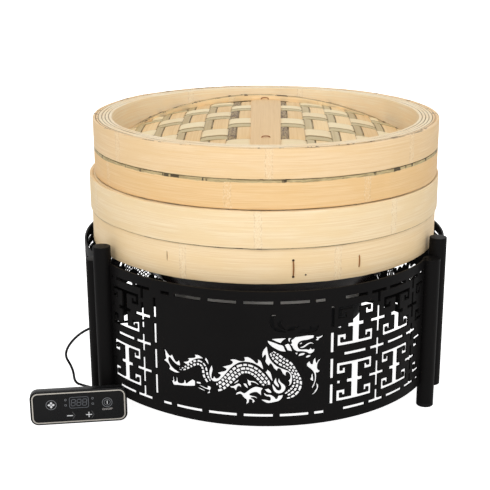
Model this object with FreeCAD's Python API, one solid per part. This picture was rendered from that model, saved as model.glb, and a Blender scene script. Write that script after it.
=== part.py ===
import FreeCAD, Part
import math
import os

# A tabletop dim sum station: a ring of three laser-cut panels on posts carries a round heater,
# a water pan, a bamboo steamer basket and its woven lid. A wired handset stands beside the ring.
# Millimetres, +Z up. The origin is on the ring's axis, on the table. The front looks along -Y.

# Ring of panels and posts
panel_count = 3
panel_height = 154.0
panel_thickness = 2.0
panel_inset = 5.1
panel_centre_offset = 20.0
panel_flats = 10
panel_clearance_below = 28.0
post_radius = 10.0
post_clearance = 4.5
post_pair_gap = 0.4
high_post_rise = 20.0
foot_height = 4.0
cap_thickness = 2.0

# Support arms: at each joint a flange ties the two posts together, and a web on edge runs inwards
flange_width = 32.0
flange_bottom = 104.0
flange_top = 150.0
arm_thickness = 2.5
web_bottom = 110.0
web_rise = 10.0
web_rise_length = 40.0
web_slope_length = 56.0
web_top_length = 34.0
ledge_depth = 6.0
arm_clearance = 0.3
joint_screw_inset = 8.0
joint_screw_head = 7.0
joint_screw_head_height = 2.5

# Round pieces are drawn with flats, as many as keep them round to the eye at their size
round_sides = 36
hoop_sides = 30
post_sides = 12
small_sides = 10

# Fretwork cut into each panel
slot_width = 3.7
module_size = 45.0
module_stem_width = 8.6
module_arm_length = 20.0
module_hook_drop = 13.0
module_hook_reach = 10.3
module_hook_rise = 6.5
module_hook_width = 3.3
module_arm_half_height = 2.2
lattice_pitch = 60.0
row_gap = 8.0
dash_margin = 12.5
dash_length = 31.5
dash_pitch = 39.0
short_dash_length = 11.0
module_dash_length = 28.0
cross_half_width = 10.5
long_cross_half_height = 15.0
small_cross_half_height = 10.0
tee_stem_length = 11.0
field_middle = -38.5
field_half_width = 100.0
field_dash_length = 23.0
field_dash_pitch = 30.0
first_module_step = 28.5
left_module_step = 45.0
left_cross_step = 17.0
square_step = 8.5
lattice_end = 204.5

# Dragon figure: a tapered body of open cells along a hand-drawn line, with fins, legs, head and horn.
# Its points are (along, up) from the middle of the field, in units of dragon_unit.
dragon_unit = 1.0
dragon_tail_width = 3.0
dragon_body_width = 13.0
dragon_rib = 1.6
dragon_cells = 14
rear_dragon_cells = 5
dragon_fin = 5.0
dragon_line = ((-83, -12), (-75, -19), (-66, -20), (-57, -13), (-48, -7), (-40, -11), (-37, -21),
               (-32, -31), (-22, -32), (-13, -22), (-2, -13), (8, -10), (19, -14), (28, -24),
               (36, -34), (44, -41), (54, -41), (61, -34), (62, -23), (56, -11), (46, -2), (37, 5))
dragon_head = ((54, 14), (60, 7), (70, 4), (79, 7), (82, 12), (76, 10.5), (68, 11), (64, 15),
               (70, 19.5), (80, 18.5), (92, 22), (85, 25.5), (80, 29), (73, 27.5), (70, 32), (64, 28.5),
               (57, 29), (53, 24))
dragon_horn = ((50, 28.5), (44, 31), (38, 37), (36, 44), (38, 51), (31, 46), (30, 37), (36, 30), (44, 26.5))
dragon_mane = ((33, 11), (27, 14), (29, 16), (22, 19), (29, 20), (27, 26), (35, 22), (42, 24),
               (50, 23), (51, 18), (50, 12), (43, 13))
dragon_tail = ((-85, -9), (-80, -4), (-74, -6), (-79, 1), (-84, 6), (-87, 13), (-88, 5), (-93, 0),
               (-89, -6))
dragon_left_leg = ((-24, -42), (-36, -42), (-50, -37), (-62, -39), (-72, -39), (-79, -42), (-75, -38),
                   (-83, -37), (-76, -35), (-80, -31), (-70, -34), (-60, -34), (-50, -32), (-42, -36),
                   (-33, -39), (-24, -39))
dragon_middle_leg = ((29, -41), (20, -43), (14, -46), (12, -52), (9, -47), (3, -50), (5, -45), (-2, -44),
                     (5, -42), (4, -37), (11, -40), (18, -36), (23, -34), (27, -37))
dragon_right_leg = ((73, -39), (79, -43), (85, -38), (84, -30), (82, -23), (84, -17), (91, -12), (86, -12),
                    (87, -4), (82, -10), (77, -5), (79, -12), (73, -14), (79, -17), (78, -24),
                    (80, -31), (80, -37))

# Heater in the middle of the ring
heater_bottom = 88.0
heater_body_radius = 121.0
heater_wall = 2.0
heater_rim_overhang = 6.0
heater_rim_bottom = 118.0
heater_top = 141.0
glass_thickness = 4.0
coil_radius = 88.0
coil_inner_radius = 30.0
coil_thickness = 6.0
coil_gap = 1.5
board_length = 90.0
board_width = 60.0
board_thickness = 1.6
board_stand_off = 6.0
board_gap = 8.0
board_post_size = 5.0
board_post_inset = 6.0
fan_radius = 32.0
fan_height = 14.0
fan_hub_radius = 12.0
fan_blades = 7
fan_blade_pitch = 35.0
fan_blade_thickness = 1.5
fan_shaft_radius = 2.0
fan_shaft_clearance = 0.05
fan_blade_margin = 2.0
fan_blade_root = 1.0
fan_motor_radius = 11.0
fan_motor_height = 6.0
fan_gap = 0.4
vent_count = 8
vent_length = 22.0
vent_width = 4.0
vent_ring_radius = 24.0
inlet_width = 28.0
inlet_height = 20.0
inlet_depth = 12.0
inlet_wall = 3.0
inlet_seat = 2.0

# Water pan
pan_floor_radius = 118.0
pan_knuckle_radius = 146.0
pan_knuckle_rise = 4.5
pan_mouth_inset = 5.0
pan_mouth_drop = 4.5
pan_brim_width = 8.0
pan_brim_inset = 1.0
pan_thickness = 1.4
pan_top = 183.0
pan_seat_clearance = 0.4

# Bamboo basket
basket_clearance = 0.4
basket_height = 81.0
basket_inner_radius = 190.0
basket_hoop_thickness = 7.0
basket_lower_band_thickness = 6.5
basket_upper_band_thickness = 8.5
basket_seam_height = 40.0
slat_count = 12
slat_margin = 10.0
slat_gap = 6.0
slat_thickness = 3.0
slat_height = 16.0
batten_width = 12.0
batten_thickness = 8.0
batten_offset = 70.0
stitch_diameter = 1.6
stitch_length = 17.0
stitch_angles = (-64.0, -34.0, 5.3, 26.5)

# Bamboo lid: its bands slip over the top of the basket's inner hoop
lid_height = 65.0
lid_seam_height = 32.0
lid_band_thickness = 5.5
lid_lap = 8.0
lid_lap_clearance = 0.5
lid_seat_clearance = 0.4
dome_hoop_thickness = 4.0
dome_hoop_height = 12.0
dome_drop = 25.0
dome_rise = 17.0
strip_thickness = 1.4
weave_clearance = 1.1
warp_count = 12
warp_width = 18.0
weft_count = 13
weft_width = 17.0
weave_margin = 14.0
strap_width = 37.0
strap_thickness = 1.8
staple_width = 10.0
staple_thickness = 1.2
staple_inset = 27.8

# Handset and its lead
handset_length = 106.0
handset_height = 39.0
handset_depth = 10.0
handset_corner = 8.0
handset_corner_flats = 3
handset_wall = 2.0
handset_front_depth = 3.5
handset_trim_inset = 2.5
handset_trim_width = 1.2
handset_trim_height = 0.4
handset_bearing = -56.0
handset_distance = 38.5
handset_turn = 5.0
window_width = 26.0
window_height = 15.0
window_offset = -4.0
window_rise = 2.5
window_thickness = 1.2
handset_board_thickness = 1.6
handset_board_margin = 5.0
gland_radius = 3.4
gland_tip_wall = 0.6
gland_length = 8.0
lead_diameter = 3.0
lead_sides = 5
lead_heater_run = 28.0
lead_handset_run = 14.0
lead_gland_turn = -59.0
lead_gland_height = 10.0
handset_gland_offset = 14.0
handset_gland_height = 12.0

vector = FreeCAD.Vector
up = vector(0, 0, 1)

# Heights and radii worked out from the sizes above
basket_bottom = pan_top + basket_clearance
basket_top = basket_bottom + basket_height
basket_hoop_outer = basket_inner_radius + basket_hoop_thickness
lid_hoop_outer = basket_hoop_outer + lid_lap_clearance
lid_outer_radius = lid_hoop_outer + lid_band_thickness
lid_top = basket_top + lid_height
pan_floor = heater_top + pan_seat_clearance
pan_mouth_radius = basket_inner_radius - pan_mouth_inset
pan_brim_radius = basket_hoop_outer - pan_brim_inset
heater_rim_radius = heater_body_radius + heater_rim_overhang
board_middle = -fan_radius - board_gap - board_width / 2
panel_bottom = panel_clearance_below
panel_top = panel_bottom + panel_height
panel_middle = panel_bottom + panel_height / 2
post_half_step = post_radius + post_pair_gap / 2
post_ring_radius = basket_hoop_outer + basket_lower_band_thickness + post_clearance + post_radius


def joint_frame(joint):
    """The outward and sideways directions at a joint of the ring, seen from above."""
    turn = math.radians(60.0 + 120.0 * joint)
    outward = vector(math.sin(turn), -math.cos(turn), 0)
    sideways = vector(math.cos(turn), math.sin(turn), 0)
    return outward, sideways


def post_places():
    """Low posts end a panel on its right, high posts start the next one."""
    low = []
    high = []
    for joint in range(panel_count):
        outward, sideways = joint_frame(joint)
        low.append(outward * post_ring_radius - sideways * post_half_step)
        high.append(outward * post_ring_radius + sideways * post_half_step)
    return low, high


low_places, high_places = post_places()
high_bottom = high_post_rise
high_top = panel_top + high_post_rise
panel_outer_radius = math.hypot(low_places[0].x, low_places[0].y + panel_centre_offset) - panel_inset
panel_inner_radius = panel_outer_radius - panel_thickness
panel_mid_radius = panel_outer_radius - panel_thickness / 2


def placed(shape, degrees=0.0, move=(0.0, 0.0, 0.0)):
    """Turn a shape about the vertical axis, then move it."""
    result = shape.copy()
    result.rotate(vector(0, 0, 0), up, degrees)
    result.translate(vector(*move))
    return result


def round_outline(radius, height, sides, x=0.0, y=0.0):
    turns = [2 * math.pi * index / sides for index in range(sides)]
    points = [vector(x + radius * math.cos(turn), y + radius * math.sin(turn), height) for turn in turns]
    return Part.makePolygon(points + [points[0]])


def cylinder(radius, bottom, top, sides=round_sides, x=0.0, y=0.0):
    return Part.Face(round_outline(radius, bottom, sides, x, y)).extrude(up * (top - bottom))


def ring(inner_radius, outer_radius, bottom, top, sides=hoop_sides):
    return cylinder(outer_radius, bottom, top, sides).cut(cylinder(inner_radius, bottom, top, sides))


def block(x_size, y_size, bottom, top, x=0.0, y=0.0):
    corner = vector(x - x_size / 2, y - y_size / 2, bottom)
    return Part.makeBox(x_size, y_size, top - bottom, corner)


def polygon_prism(points, direction):
    """Extrude a closed polygon of vectors along a direction."""
    wire = Part.makePolygon(list(points) + [points[0]])
    return Part.Face(wire).extrude(direction)


def turned_profile(outline, sides=round_sides):
    """Turn a closed outline of (radius, height) points about the vertical axis, in flats."""
    faces = []
    for (radius, height), (next_radius, next_height) in zip(outline, outline[1:] + outline[:1]):
        for index in range(sides):
            corners = []
            for reach, level, step in ((radius, height, 0), (next_radius, next_height, 0),
                                       (next_radius, next_height, 1), (radius, height, 1)):
                turn = 2 * math.pi * (index + step) / sides
                corner = vector(reach * math.cos(turn), reach * math.sin(turn), level)
                if all(corner.distanceToPoint(other) > 1e-6 for other in corners):
                    corners.append(corner)
            if len(corners) > 2:
                faces.append(Part.Face(Part.makePolygon(corners + [corners[0]])))
    return Part.Solid(Part.Shell(faces))


def rounded_plate(length, height, depth, corner, inset=0.0):
    """A plate in the XZ plane with round corners, its back on y = 0 and its face on y = -depth."""
    points = []
    reach = length / 2 - corner
    for x, z, start in ((reach, height - corner, 0), (-reach, height - corner, 90),
                        (-reach, corner, 180), (reach, corner, 270)):
        for step in range(handset_corner_flats + 1):
            turn = math.radians(start + 90 * step / handset_corner_flats)
            points.append(vector(x + (corner - inset) * math.cos(turn), 0,
                                 z + (corner - inset) * math.sin(turn)))
    return polygon_prism(points, vector(0, -depth, 0))


def save(node, *solids):
    shape = solids[0] if len(solids) == 1 else Part.makeCompound(list(solids))
    shape.exportStep("parts/" + node + ".step")


# Outlines of the fretwork, as (along, up) points round a figure's own middle


def rectangle(width, height, along=0.0, rise=0.0):
    half_width = width / 2
    half_height = height / 2
    corners = ((-1, -1), (1, -1), (1, 1), (-1, 1))
    return [(along + a * half_width, rise + b * half_height) for a, b in corners]


def mirrored_quarter(quarter):
    """Mirror a quarter outline, from its right end to its top, into the whole outline."""
    top_left = [(-a, b) for a, b in reversed(quarter)]
    bottom_left = [(-a, -b) for a, b in quarter]
    bottom_right = [(a, -b) for a, b in reversed(quarter)]
    return quarter + top_left + bottom_left + bottom_right


def module_quarter(curled):
    half = module_size / 2
    stem = module_stem_width / 2
    arm = module_arm_length / 2
    bar = half - slot_width
    quarter = [(arm, module_arm_half_height), (stem, module_arm_half_height), (stem, bar)]
    if curled:
        foot = half - module_hook_drop
        hook = half - module_hook_reach
        hook_inner = hook + module_hook_width
        quarter += [(bar, bar), (bar, foot + slot_width), (hook_inner, foot + slot_width)]
        quarter += [(hook_inner, foot + module_hook_rise), (hook, foot + module_hook_rise)]
        quarter += [(hook, foot), (half, foot), (half, half)]
    else:
        quarter += [(half, bar), (half, half)]
    return quarter


def half_module(curled, end):
    """The two hooks of a module that the right-hand post cuts short."""
    half = module_size / 2
    bar = half - slot_width
    foot = half - module_hook_drop
    hook = half - module_hook_reach
    hook_inner = hook + module_hook_width
    upper = [(-half, half), (-half, foot)]
    if curled:
        upper += [(-hook, foot), (-hook, foot + module_hook_rise), (-hook_inner, foot + module_hook_rise)]
        upper += [(-hook_inner, foot + slot_width), (-bar, foot + slot_width)]
    else:
        upper.append((-bar, foot))
    upper += [(-bar, bar), (end, bar), (end, half)]
    lower = [(a, -b) for a, b in reversed(upper)]
    return upper, lower


def cross(half_height):
    half = slot_width / 2
    quarter = [(cross_half_width, half), (half, half), (half, half_height)]
    return mirrored_quarter(quarter)


def tee(direction):
    """A bar in a border row with a stem towards the panel's middle."""
    half = slot_width / 2
    bar = cross_half_width
    stem = half + tee_stem_length
    points = [(-bar, half), (bar, half), (bar, -half), (half, -half), (half, -stem), (-half, -stem)]
    points += [(-half, -half), (-bar, -half)]
    return [(a, b * direction) for a, b in points]


def moved(points, along, rise):
    return [(along + a, rise + b) for a, b in points]


def fretwork(full):
    """Cut-outs of the lattice. The rear panels get fewer of them, with plainer outlines."""
    border = panel_height / 2 - dash_margin
    module_rise = slot_width / 2 + row_gap + module_size / 2
    right_edge = field_middle + field_half_width
    left_edge = field_middle - field_half_width
    modules = [left_edge - left_module_step, right_edge + first_module_step]
    modules.append(modules[-1] + lattice_pitch)
    crosses = [left_edge - left_cross_step, modules[1] + lattice_pitch / 2, modules[2] + lattice_pitch / 2]
    holes = []
    for along in modules:
        for side in (-1, 1):
            holes.append(moved(mirrored_quarter(module_quarter(full)), along, side * module_rise))
            if full:
                holes.append(rectangle(module_dash_length, slot_width, along, side * border))
        if full:
            holes.append(rectangle(module_dash_length, slot_width, along, 0.0))
    for along in crosses:
        for side in (-1, 1):
            holes.append(moved(cross(long_cross_half_height), along, side * module_rise))
            if full:
                holes.append(moved(tee(side), along, side * border))
        if full:
            holes.append(moved(cross(small_cross_half_height), along, 0.0))
    for side in (-1, 1):
        for step in (-1.5, -0.5, 0.5, 1.5):
            holes.append(rectangle(dash_length, slot_width, field_middle + step * dash_pitch, side * border))
        for edge in (left_edge, right_edge):
            for step in (0.5, 1.5):
                rise = side * step * field_dash_pitch
                if full or step < 1:
                    holes.append(rectangle(slot_width, field_dash_length, edge, rise))
    last = modules[2] + lattice_pitch
    for side in (-1, 1):
        for outline in half_module(full, lattice_end - last):
            holes.append(moved(outline, last, side * module_rise))
    if full:
        for side in (-1, 1):
            for end in (-1, 1):
                middle = field_middle + end * (2 * dash_pitch + row_gap)
                holes.append(rectangle(short_dash_length, slot_width, middle, side * border))
            holes.append(rectangle(slot_width, slot_width, right_edge + square_step, side * module_rise))
    return holes


# Outlines of the dragon, as (along, up) points round the middle of the field


def spine(t):
    """A smooth line through the dragon's hand-drawn points, for t from 0 to 1."""
    last = len(dragon_line) - 1
    place = min(max(t, 0.0), 1.0) * last
    index = min(int(place), last - 1)
    u = place - index
    weights = (((2 - u) * u - 1) * u / 2, ((3 * u - 5) * u * u + 2) / 2,
               ((4 - 3 * u) * u + 1) * u / 2, (u - 1) * u * u / 2)
    along = 0.0
    rise = 0.0
    for step, weight in zip((-1, 0, 1, 2), weights):
        point = dragon_line[min(max(index + step, 0), last)]
        along += weight * point[0]
        rise += weight * point[1]
    return along, rise


def beside_spine(t, offset):
    """A point beside the line, to the left of its direction for a positive offset."""
    ahead = spine(t + 0.004)
    behind = spine(t - 0.004)
    step = (ahead[0] - behind[0], ahead[1] - behind[1])
    length = math.hypot(*step)
    along, rise = spine(t)
    return along - step[1] / length * offset, rise + step[0] / length * offset


def body_half_width(t):
    swell = math.sin(math.pi / 2 * min(1.0, 1.8 * t))
    return dragon_tail_width / 2 + (dragon_body_width - dragon_tail_width) / 2 * swell


def body_cells(count):
    cells = []
    rib = 0.1 / count
    for index in range(count):
        start = index / count + rib
        end = (index + 1) / count - rib
        near = body_half_width(start)
        far = body_half_width(end)
        cell = [beside_spine(start, -near), beside_spine(end, -far)]
        cell += [beside_spine(end, far), beside_spine(start, near)]
        cells.append(cell)
    return cells


def back_fins():
    fins = []
    for index in range(1, dragon_cells - 1, 2):
        start = index / dragon_cells
        end = (index + 0.9) / dragon_cells
        base = body_half_width(start) + dragon_rib
        tip = beside_spine(start - 0.2 / dragon_cells, base + dragon_fin)
        fins.append([beside_spine(start, base), beside_spine(end, body_half_width(end) + dragon_rib), tip])
    return fins


def dragon(full):
    figures = [dragon_head, dragon_tail]
    if full:
        figures += body_cells(dragon_cells) + back_fins()
        figures += [dragon_horn, dragon_mane, dragon_left_leg, dragon_middle_leg, dragon_right_leg]
    else:
        figures += body_cells(rear_dragon_cells)
    scaled = []
    for figure in figures:
        outline = [(dragon_unit * along, dragon_unit * rise) for along, rise in figure]
        scaled.append(moved(outline, field_middle, 0.0))
    return scaled


# Panels and posts


def cutter(outline):
    """A prism through the front panel, square to it at the outline's middle."""
    spare = 3 * panel_thickness
    middle = sum(point[0] for point in outline) / len(outline)
    turn = middle / panel_mid_radius
    outward = vector(math.sin(turn), -math.cos(turn), 0)
    along = vector(math.cos(turn), math.sin(turn), 0)
    start = vector(0, -panel_centre_offset, panel_middle) + outward * (panel_inner_radius - spare)
    points = [start + along * (a - middle) + up * b for a, b in outline]
    return polygon_prism(points, outward * (panel_thickness + 2 * spare))


def post_rounds(places, bottom, top):
    return [cylinder(post_radius, bottom, top, post_sides, place.x, place.y) for place in places]


def panel_blank():
    """The curved plate of the front panel, ending against the walls of its two posts."""
    half_turn = math.atan2(low_places[0].x, -(low_places[0].y + panel_centre_offset))
    turns = [half_turn * (2 * index / panel_flats - 1) for index in range(panel_flats + 1)]
    outline = []
    for radius, order in ((panel_outer_radius, turns), (panel_inner_radius, turns[::-1])):
        for turn in order:
            outline.append(vector(radius * math.sin(turn), -panel_centre_offset - radius * math.cos(turn),
                                  panel_bottom))
    plate = polygon_prism(outline, up * panel_height)
    return plate.cut(post_rounds(low_places + high_places, 0, high_top))


def panel(full):
    holes = [cutter(outline) for outline in fretwork(full) + dragon(full)]
    plate = panel_blank().cut(holes)
    return max(plate.Solids, key=lambda solid: solid.Volume)


def build_ring():
    plain = panel(False)
    save("panel_front", panel(True))
    save("panel_rear_right", placed(plain, 120))
    save("panel_rear_left", placed(plain, 240))
    low_top = panel_top - cap_thickness
    save("low_posts", *post_rounds(low_places, foot_height, low_top))
    save("high_posts", *post_rounds(high_places, high_bottom, high_top - cap_thickness))
    caps = post_rounds(low_places, low_top, panel_top)
    caps += post_rounds(high_places, high_top - cap_thickness, high_top)
    save("post_caps", *caps)
    save("post_feet", *post_rounds(low_places, 0, foot_height))


# Heater and the arms that carry it


def hexagon_head(x, y, z):
    """A screw head on the inner face of a flange, pointing at the ring's axis (+Y)."""
    radius = joint_screw_head / math.sqrt(3)
    turns = [math.radians(60 * index) for index in range(6)]
    corners = [vector(x + radius * math.cos(turn), y, z + radius * math.sin(turn)) for turn in turns]
    return polygon_prism(corners, vector(0, joint_screw_head_height, 0))


def build_arms():
    arms = []
    screws = []
    outside = post_ring_radius - post_radius
    inside = outside - arm_thickness
    seat = heater_body_radius + arm_clearance
    web = [(inside, web_bottom), (inside, flange_top), (inside - web_top_length, heater_top),
           (heater_rim_radius + arm_clearance, heater_top), (heater_rim_radius + arm_clearance, heater_rim_bottom),
           (seat, heater_rim_bottom), (seat, heater_rim_bottom - ledge_depth),
           (inside - web_slope_length, heater_rim_bottom - ledge_depth),
           (inside - web_rise_length, web_bottom + web_rise)]
    corners = [vector(-arm_thickness / 2, -reach, height) for reach, height in web]
    arm = polygon_prism(corners, vector(arm_thickness, 0, 0))
    flange = block(flange_width, arm_thickness, flange_bottom, flange_top, 0, -inside - arm_thickness / 2)
    arm = arm.fuse(flange)
    for joint in range(panel_count):
        turn = 60.0 + 120.0 * joint
        arms.append(placed(arm, turn))
        for side in (-1, 1):
            for level in (flange_bottom + joint_screw_inset, flange_top - joint_screw_inset):
                head = hexagon_head(side * post_half_step, -inside, level)
                screws.append(placed(head, turn))
    save("support_arm_right", arms[0])
    save("support_arm_rear", arms[1])
    save("support_arm_left", arms[2])
    save("arm_screws", *screws)


def build_heater():
    floor = heater_bottom + heater_wall
    shell = cylinder(heater_body_radius, heater_bottom, heater_rim_bottom)
    shell = shell.cut(cylinder(heater_body_radius - heater_wall, floor, heater_rim_bottom))
    vents = []
    for index in range(vent_count):
        vent = block(vent_width, vent_length, heater_bottom, floor, 0, vent_ring_radius)
        vents.append(placed(vent, 360 / vent_count * index))
    shell = shell.cut(vents)
    save("heater_base", shell)
    inner_radius = heater_body_radius - heater_wall
    glass_bottom = heater_top - glass_thickness
    rim = ring(inner_radius, heater_rim_radius, heater_rim_bottom, heater_top, round_sides)
    save("heater_rim", rim)
    save("heater_glass", cylinder(inner_radius, glass_bottom, heater_top))
    coil_top = glass_bottom - coil_gap
    coil_bottom = coil_top - coil_thickness
    carrier = cylinder(inner_radius, coil_bottom - coil_gap, coil_bottom)
    save("coil_carrier", carrier)
    coil = ring(coil_inner_radius, coil_radius, coil_bottom, coil_top, round_sides // 2)
    save("heating_coil", coil)
    build_fan(floor)
    board = block(board_length, board_width, floor + board_stand_off,
                  floor + board_stand_off + board_thickness, 0, board_middle)
    save("heater_board", board, *board_posts(floor))


def board_posts(floor):
    posts = []
    for side in (-1, 1):
        for end in (-1, 1):
            x = side * (board_length / 2 - board_post_inset)
            y = board_middle + end * (board_width / 2 - board_post_inset)
            posts.append(block(board_post_size, board_post_size, floor, floor + board_stand_off, x, y))
    return posts


def build_fan(floor):
    motor_top = floor + fan_motor_height
    bottom = motor_top + fan_gap
    top = bottom + fan_height
    motor = cylinder(fan_motor_radius, floor, motor_top, small_sides)
    shaft = Part.makeCylinder(fan_shaft_radius, top - motor_top, vector(0, 0, motor_top))
    save("fan_motor", motor.fuse(shaft))
    rotor = cylinder(fan_hub_radius, bottom, top, small_sides)
    blade_length = fan_radius - fan_hub_radius + fan_blade_root
    for index in range(fan_blades):
        blade = block(fan_blade_thickness, blade_length, bottom + fan_blade_margin, top - fan_blade_margin,
                      0, fan_radius - blade_length / 2)
        blade.rotate(vector(0, 0, (bottom + top) / 2), vector(0, 1, 0), fan_blade_pitch)
        rotor = rotor.fuse(placed(blade, 360 / fan_blades * index))
    bore = Part.makeCylinder(fan_shaft_radius + fan_shaft_clearance, fan_height, vector(0, 0, bottom))
    save("fan_rotor", rotor.cut(bore))


# Pan, basket and lid


def build_pan():
    brim_bottom = pan_top - pan_thickness
    lower = [(0, pan_floor), (pan_floor_radius, pan_floor),
             (pan_knuckle_radius, pan_floor + pan_knuckle_rise),
             (pan_mouth_radius, brim_bottom - pan_mouth_drop),
             (pan_brim_radius - pan_brim_width, brim_bottom), (pan_brim_radius, brim_bottom)]
    upper = [(radius - pan_thickness, height + pan_thickness) for radius, height in lower[1:5]]
    upper = [(0, pan_floor + pan_thickness)] + upper + [(pan_brim_radius, pan_top)]
    save("water_pan", turned_profile(lower + upper[::-1], hoop_sides))


def build_basket():
    seam = basket_bottom + basket_seam_height
    hoop_outer = basket_hoop_outer
    save("basket_inner_hoop", ring(basket_inner_radius, hoop_outer, basket_bottom, basket_top + lid_lap))
    lower_outer = hoop_outer + basket_lower_band_thickness
    upper_outer = hoop_outer + basket_upper_band_thickness
    save("basket_lower_band", ring(hoop_outer, lower_outer, basket_bottom, seam))
    save("basket_upper_band", ring(hoop_outer, upper_outer, seam, basket_top))
    slat_bottom = basket_bottom + slat_height
    slat_top = slat_bottom + slat_thickness
    floor = cylinder(basket_inner_radius, slat_bottom, slat_top, hoop_sides)
    slats = []
    pitch = 2 * (basket_inner_radius - slat_margin) / slat_count
    for index in range(slat_count):
        x = (index - (slat_count - 1) / 2) * pitch
        slat = block(pitch - slat_gap, 2 * basket_inner_radius, slat_bottom, slat_top, x)
        slats.append(slat.common(floor))
    save("basket_slats", *slats)
    core = cylinder(basket_inner_radius, basket_bottom, slat_bottom, hoop_sides)
    battens = []
    for side in (-1, 1):
        bar = block(2 * basket_inner_radius, batten_width, slat_bottom - batten_thickness, slat_bottom,
                    0, side * batten_offset)
        battens.append(bar.common(core))
    save("basket_battens", *battens)
    stitches = []
    for angle in stitch_angles:
        bottom = basket_bottom + (basket_seam_height - stitch_length) / 2
        stitch = block(stitch_diameter, stitch_diameter, bottom, bottom + stitch_length, 0,
                       -lower_outer - stitch_diameter / 2)
        stitches.append(placed(stitch, angle))
    save("basket_stitches", *stitches)


def arched_strip(width, length, offset, radius, crown, lift):
    """A strip along Y that follows the dome in four flats, and tilts sideways with it."""
    slope = -2 * dome_rise * offset / radius**2
    lower = []
    for place in (-1.0, -0.5, 0.0, 0.5, 1.0):
        height = crown - dome_rise * ((place * length)**2 + offset**2) / radius**2 + lift
        lower.append(vector(offset - width / 2, place * length, height - slope * width / 2))
    upper = [point + up * strip_thickness for point in reversed(lower)]
    return polygon_prism(lower + upper, vector(width, 0, slope * width))


def strip_length(offset, width, radius):
    """Half the length of a strip whose outer corners end on a circle."""
    return math.sqrt(radius**2 - (abs(offset) + width / 2)**2)


def build_weave(radius, crown):
    """Warp strips run front to back on both sides of the strap, and weft strips lie across them."""
    warp = []
    weft = []
    span = 2 * (radius - weave_margin)
    for index in range(warp_count):
        offset = (index - (warp_count - 1) / 2) * span / warp_count
        length = strip_length(offset, warp_width, radius)
        warp.append(arched_strip(warp_width, length, offset, radius, crown, 0.0))
    for index in range(weft_count):
        offset = (index - (weft_count - 1) / 2) * span / weft_count
        length = strip_length(offset, weft_width, radius)
        lift = strip_thickness + weave_clearance
        weft.append(placed(arched_strip(weft_width, length, offset, radius, crown, lift), 90))
    save("lid_warp_strips", *warp)
    save("lid_weft_strips", *weft)


def build_lid():
    bottom = basket_top + lid_seat_clearance
    seam = bottom + lid_seam_height
    hoop_inner = basket_inner_radius
    hoop_bottom = basket_top + lid_lap + lid_seat_clearance
    save("lid_inner_hoop", ring(hoop_inner, lid_hoop_outer, hoop_bottom, lid_top))
    save("lid_lower_band", ring(lid_hoop_outer, lid_outer_radius, bottom, seam))
    save("lid_upper_band", ring(lid_hoop_outer, lid_outer_radius, seam, lid_top))
    dome_edge = lid_top - dome_drop
    dome_inner = hoop_inner - dome_hoop_thickness
    save("lid_dome_hoop", ring(dome_inner, hoop_inner, dome_edge - dome_hoop_height / 2,
                               dome_edge + dome_hoop_height / 2))
    crown = dome_edge + dome_rise - strip_thickness
    reach = dome_inner * math.cos(math.pi / hoop_sides)
    build_weave(reach, crown)
    strap_lift = 2 * (strip_thickness + weave_clearance)
    strap = arched_strip(strap_width, strip_length(0.0, strap_width, reach), 0.0, reach, crown, strap_lift)
    save("lid_strap", strap)
    staples = []
    strap_half = strip_length(0.0, strap_width, reach)
    staple_middle = reach - staple_inset
    inner_edge = staple_middle - staple_thickness / 2
    drop = dome_rise * (strap_half / reach)**2 * (1.5 * inner_edge / strap_half - 0.5)
    height = crown - drop + strap_lift + strip_thickness
    for side in (-1, 1):
        staples.append(block(staple_width, staple_thickness, height, height + staple_thickness,
                             0, side * staple_middle))
    save("lid_staples", *staples)


# Handset and lead


def handset_point(x, y, z):
    """A point given from the middle of the handset's lower back edge, in the station's frame."""
    turn = math.radians(handset_turn)
    bearing = math.radians(handset_bearing)
    distance = post_ring_radius + post_radius + handset_distance
    place_x = distance * math.sin(bearing) + x * math.cos(turn) - y * math.sin(turn)
    place_y = -distance * math.cos(bearing) + x * math.sin(turn) + y * math.cos(turn)
    return vector(place_x, place_y, z)


def handset_shift(back_distance):
    """Move a piece so that its own back plane lies this far behind the handset's face."""
    point = handset_point(0, back_distance, 0)
    return point.x, point.y, 0


def build_handset():
    shell_depth = handset_depth - handset_front_depth
    back = rounded_plate(handset_length, handset_height, shell_depth, handset_corner)
    hollow = rounded_plate(handset_length, handset_height, shell_depth - handset_wall, handset_corner,
                           handset_wall)
    hollow.translate(vector(0, -handset_wall, 0))
    save("handset_back", placed(back.cut(hollow), handset_turn, handset_shift(handset_depth)))
    face_shift = handset_shift(handset_front_depth)
    front = rounded_plate(handset_length, handset_height, handset_front_depth, handset_corner)
    middle = handset_height / 2 + window_rise
    window = block(window_width, window_thickness, middle - window_height / 2, middle + window_height / 2,
                   window_offset, -handset_front_depth + window_thickness / 2)
    save("handset_front", placed(front.cut(window), handset_turn, face_shift))
    save("handset_display", placed(window, handset_turn, face_shift))
    save("handset_trim", placed(trim_band(), handset_turn, face_shift))
    margin = handset_wall + handset_board_margin
    board = block(handset_length - 2 * margin, handset_board_thickness, margin, handset_height - margin, 0,
                  handset_board_thickness / 2)
    save("handset_board", placed(board, handset_turn, face_shift))


def trim_band():
    """A thin bright band on the front, following its outline."""
    inner_inset = handset_trim_inset + handset_trim_width
    outer = rounded_plate(handset_length, handset_height, handset_trim_height, handset_corner,
                          handset_trim_inset)
    inner = rounded_plate(handset_length, handset_height, handset_trim_height, handset_corner, inner_inset)
    band = outer.cut(inner)
    band.translate(vector(0, -handset_front_depth, 0))
    return band


def heater_gland_way():
    turn = math.radians(lead_gland_turn)
    return vector(math.sin(turn), -math.cos(turn), 0)


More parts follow.
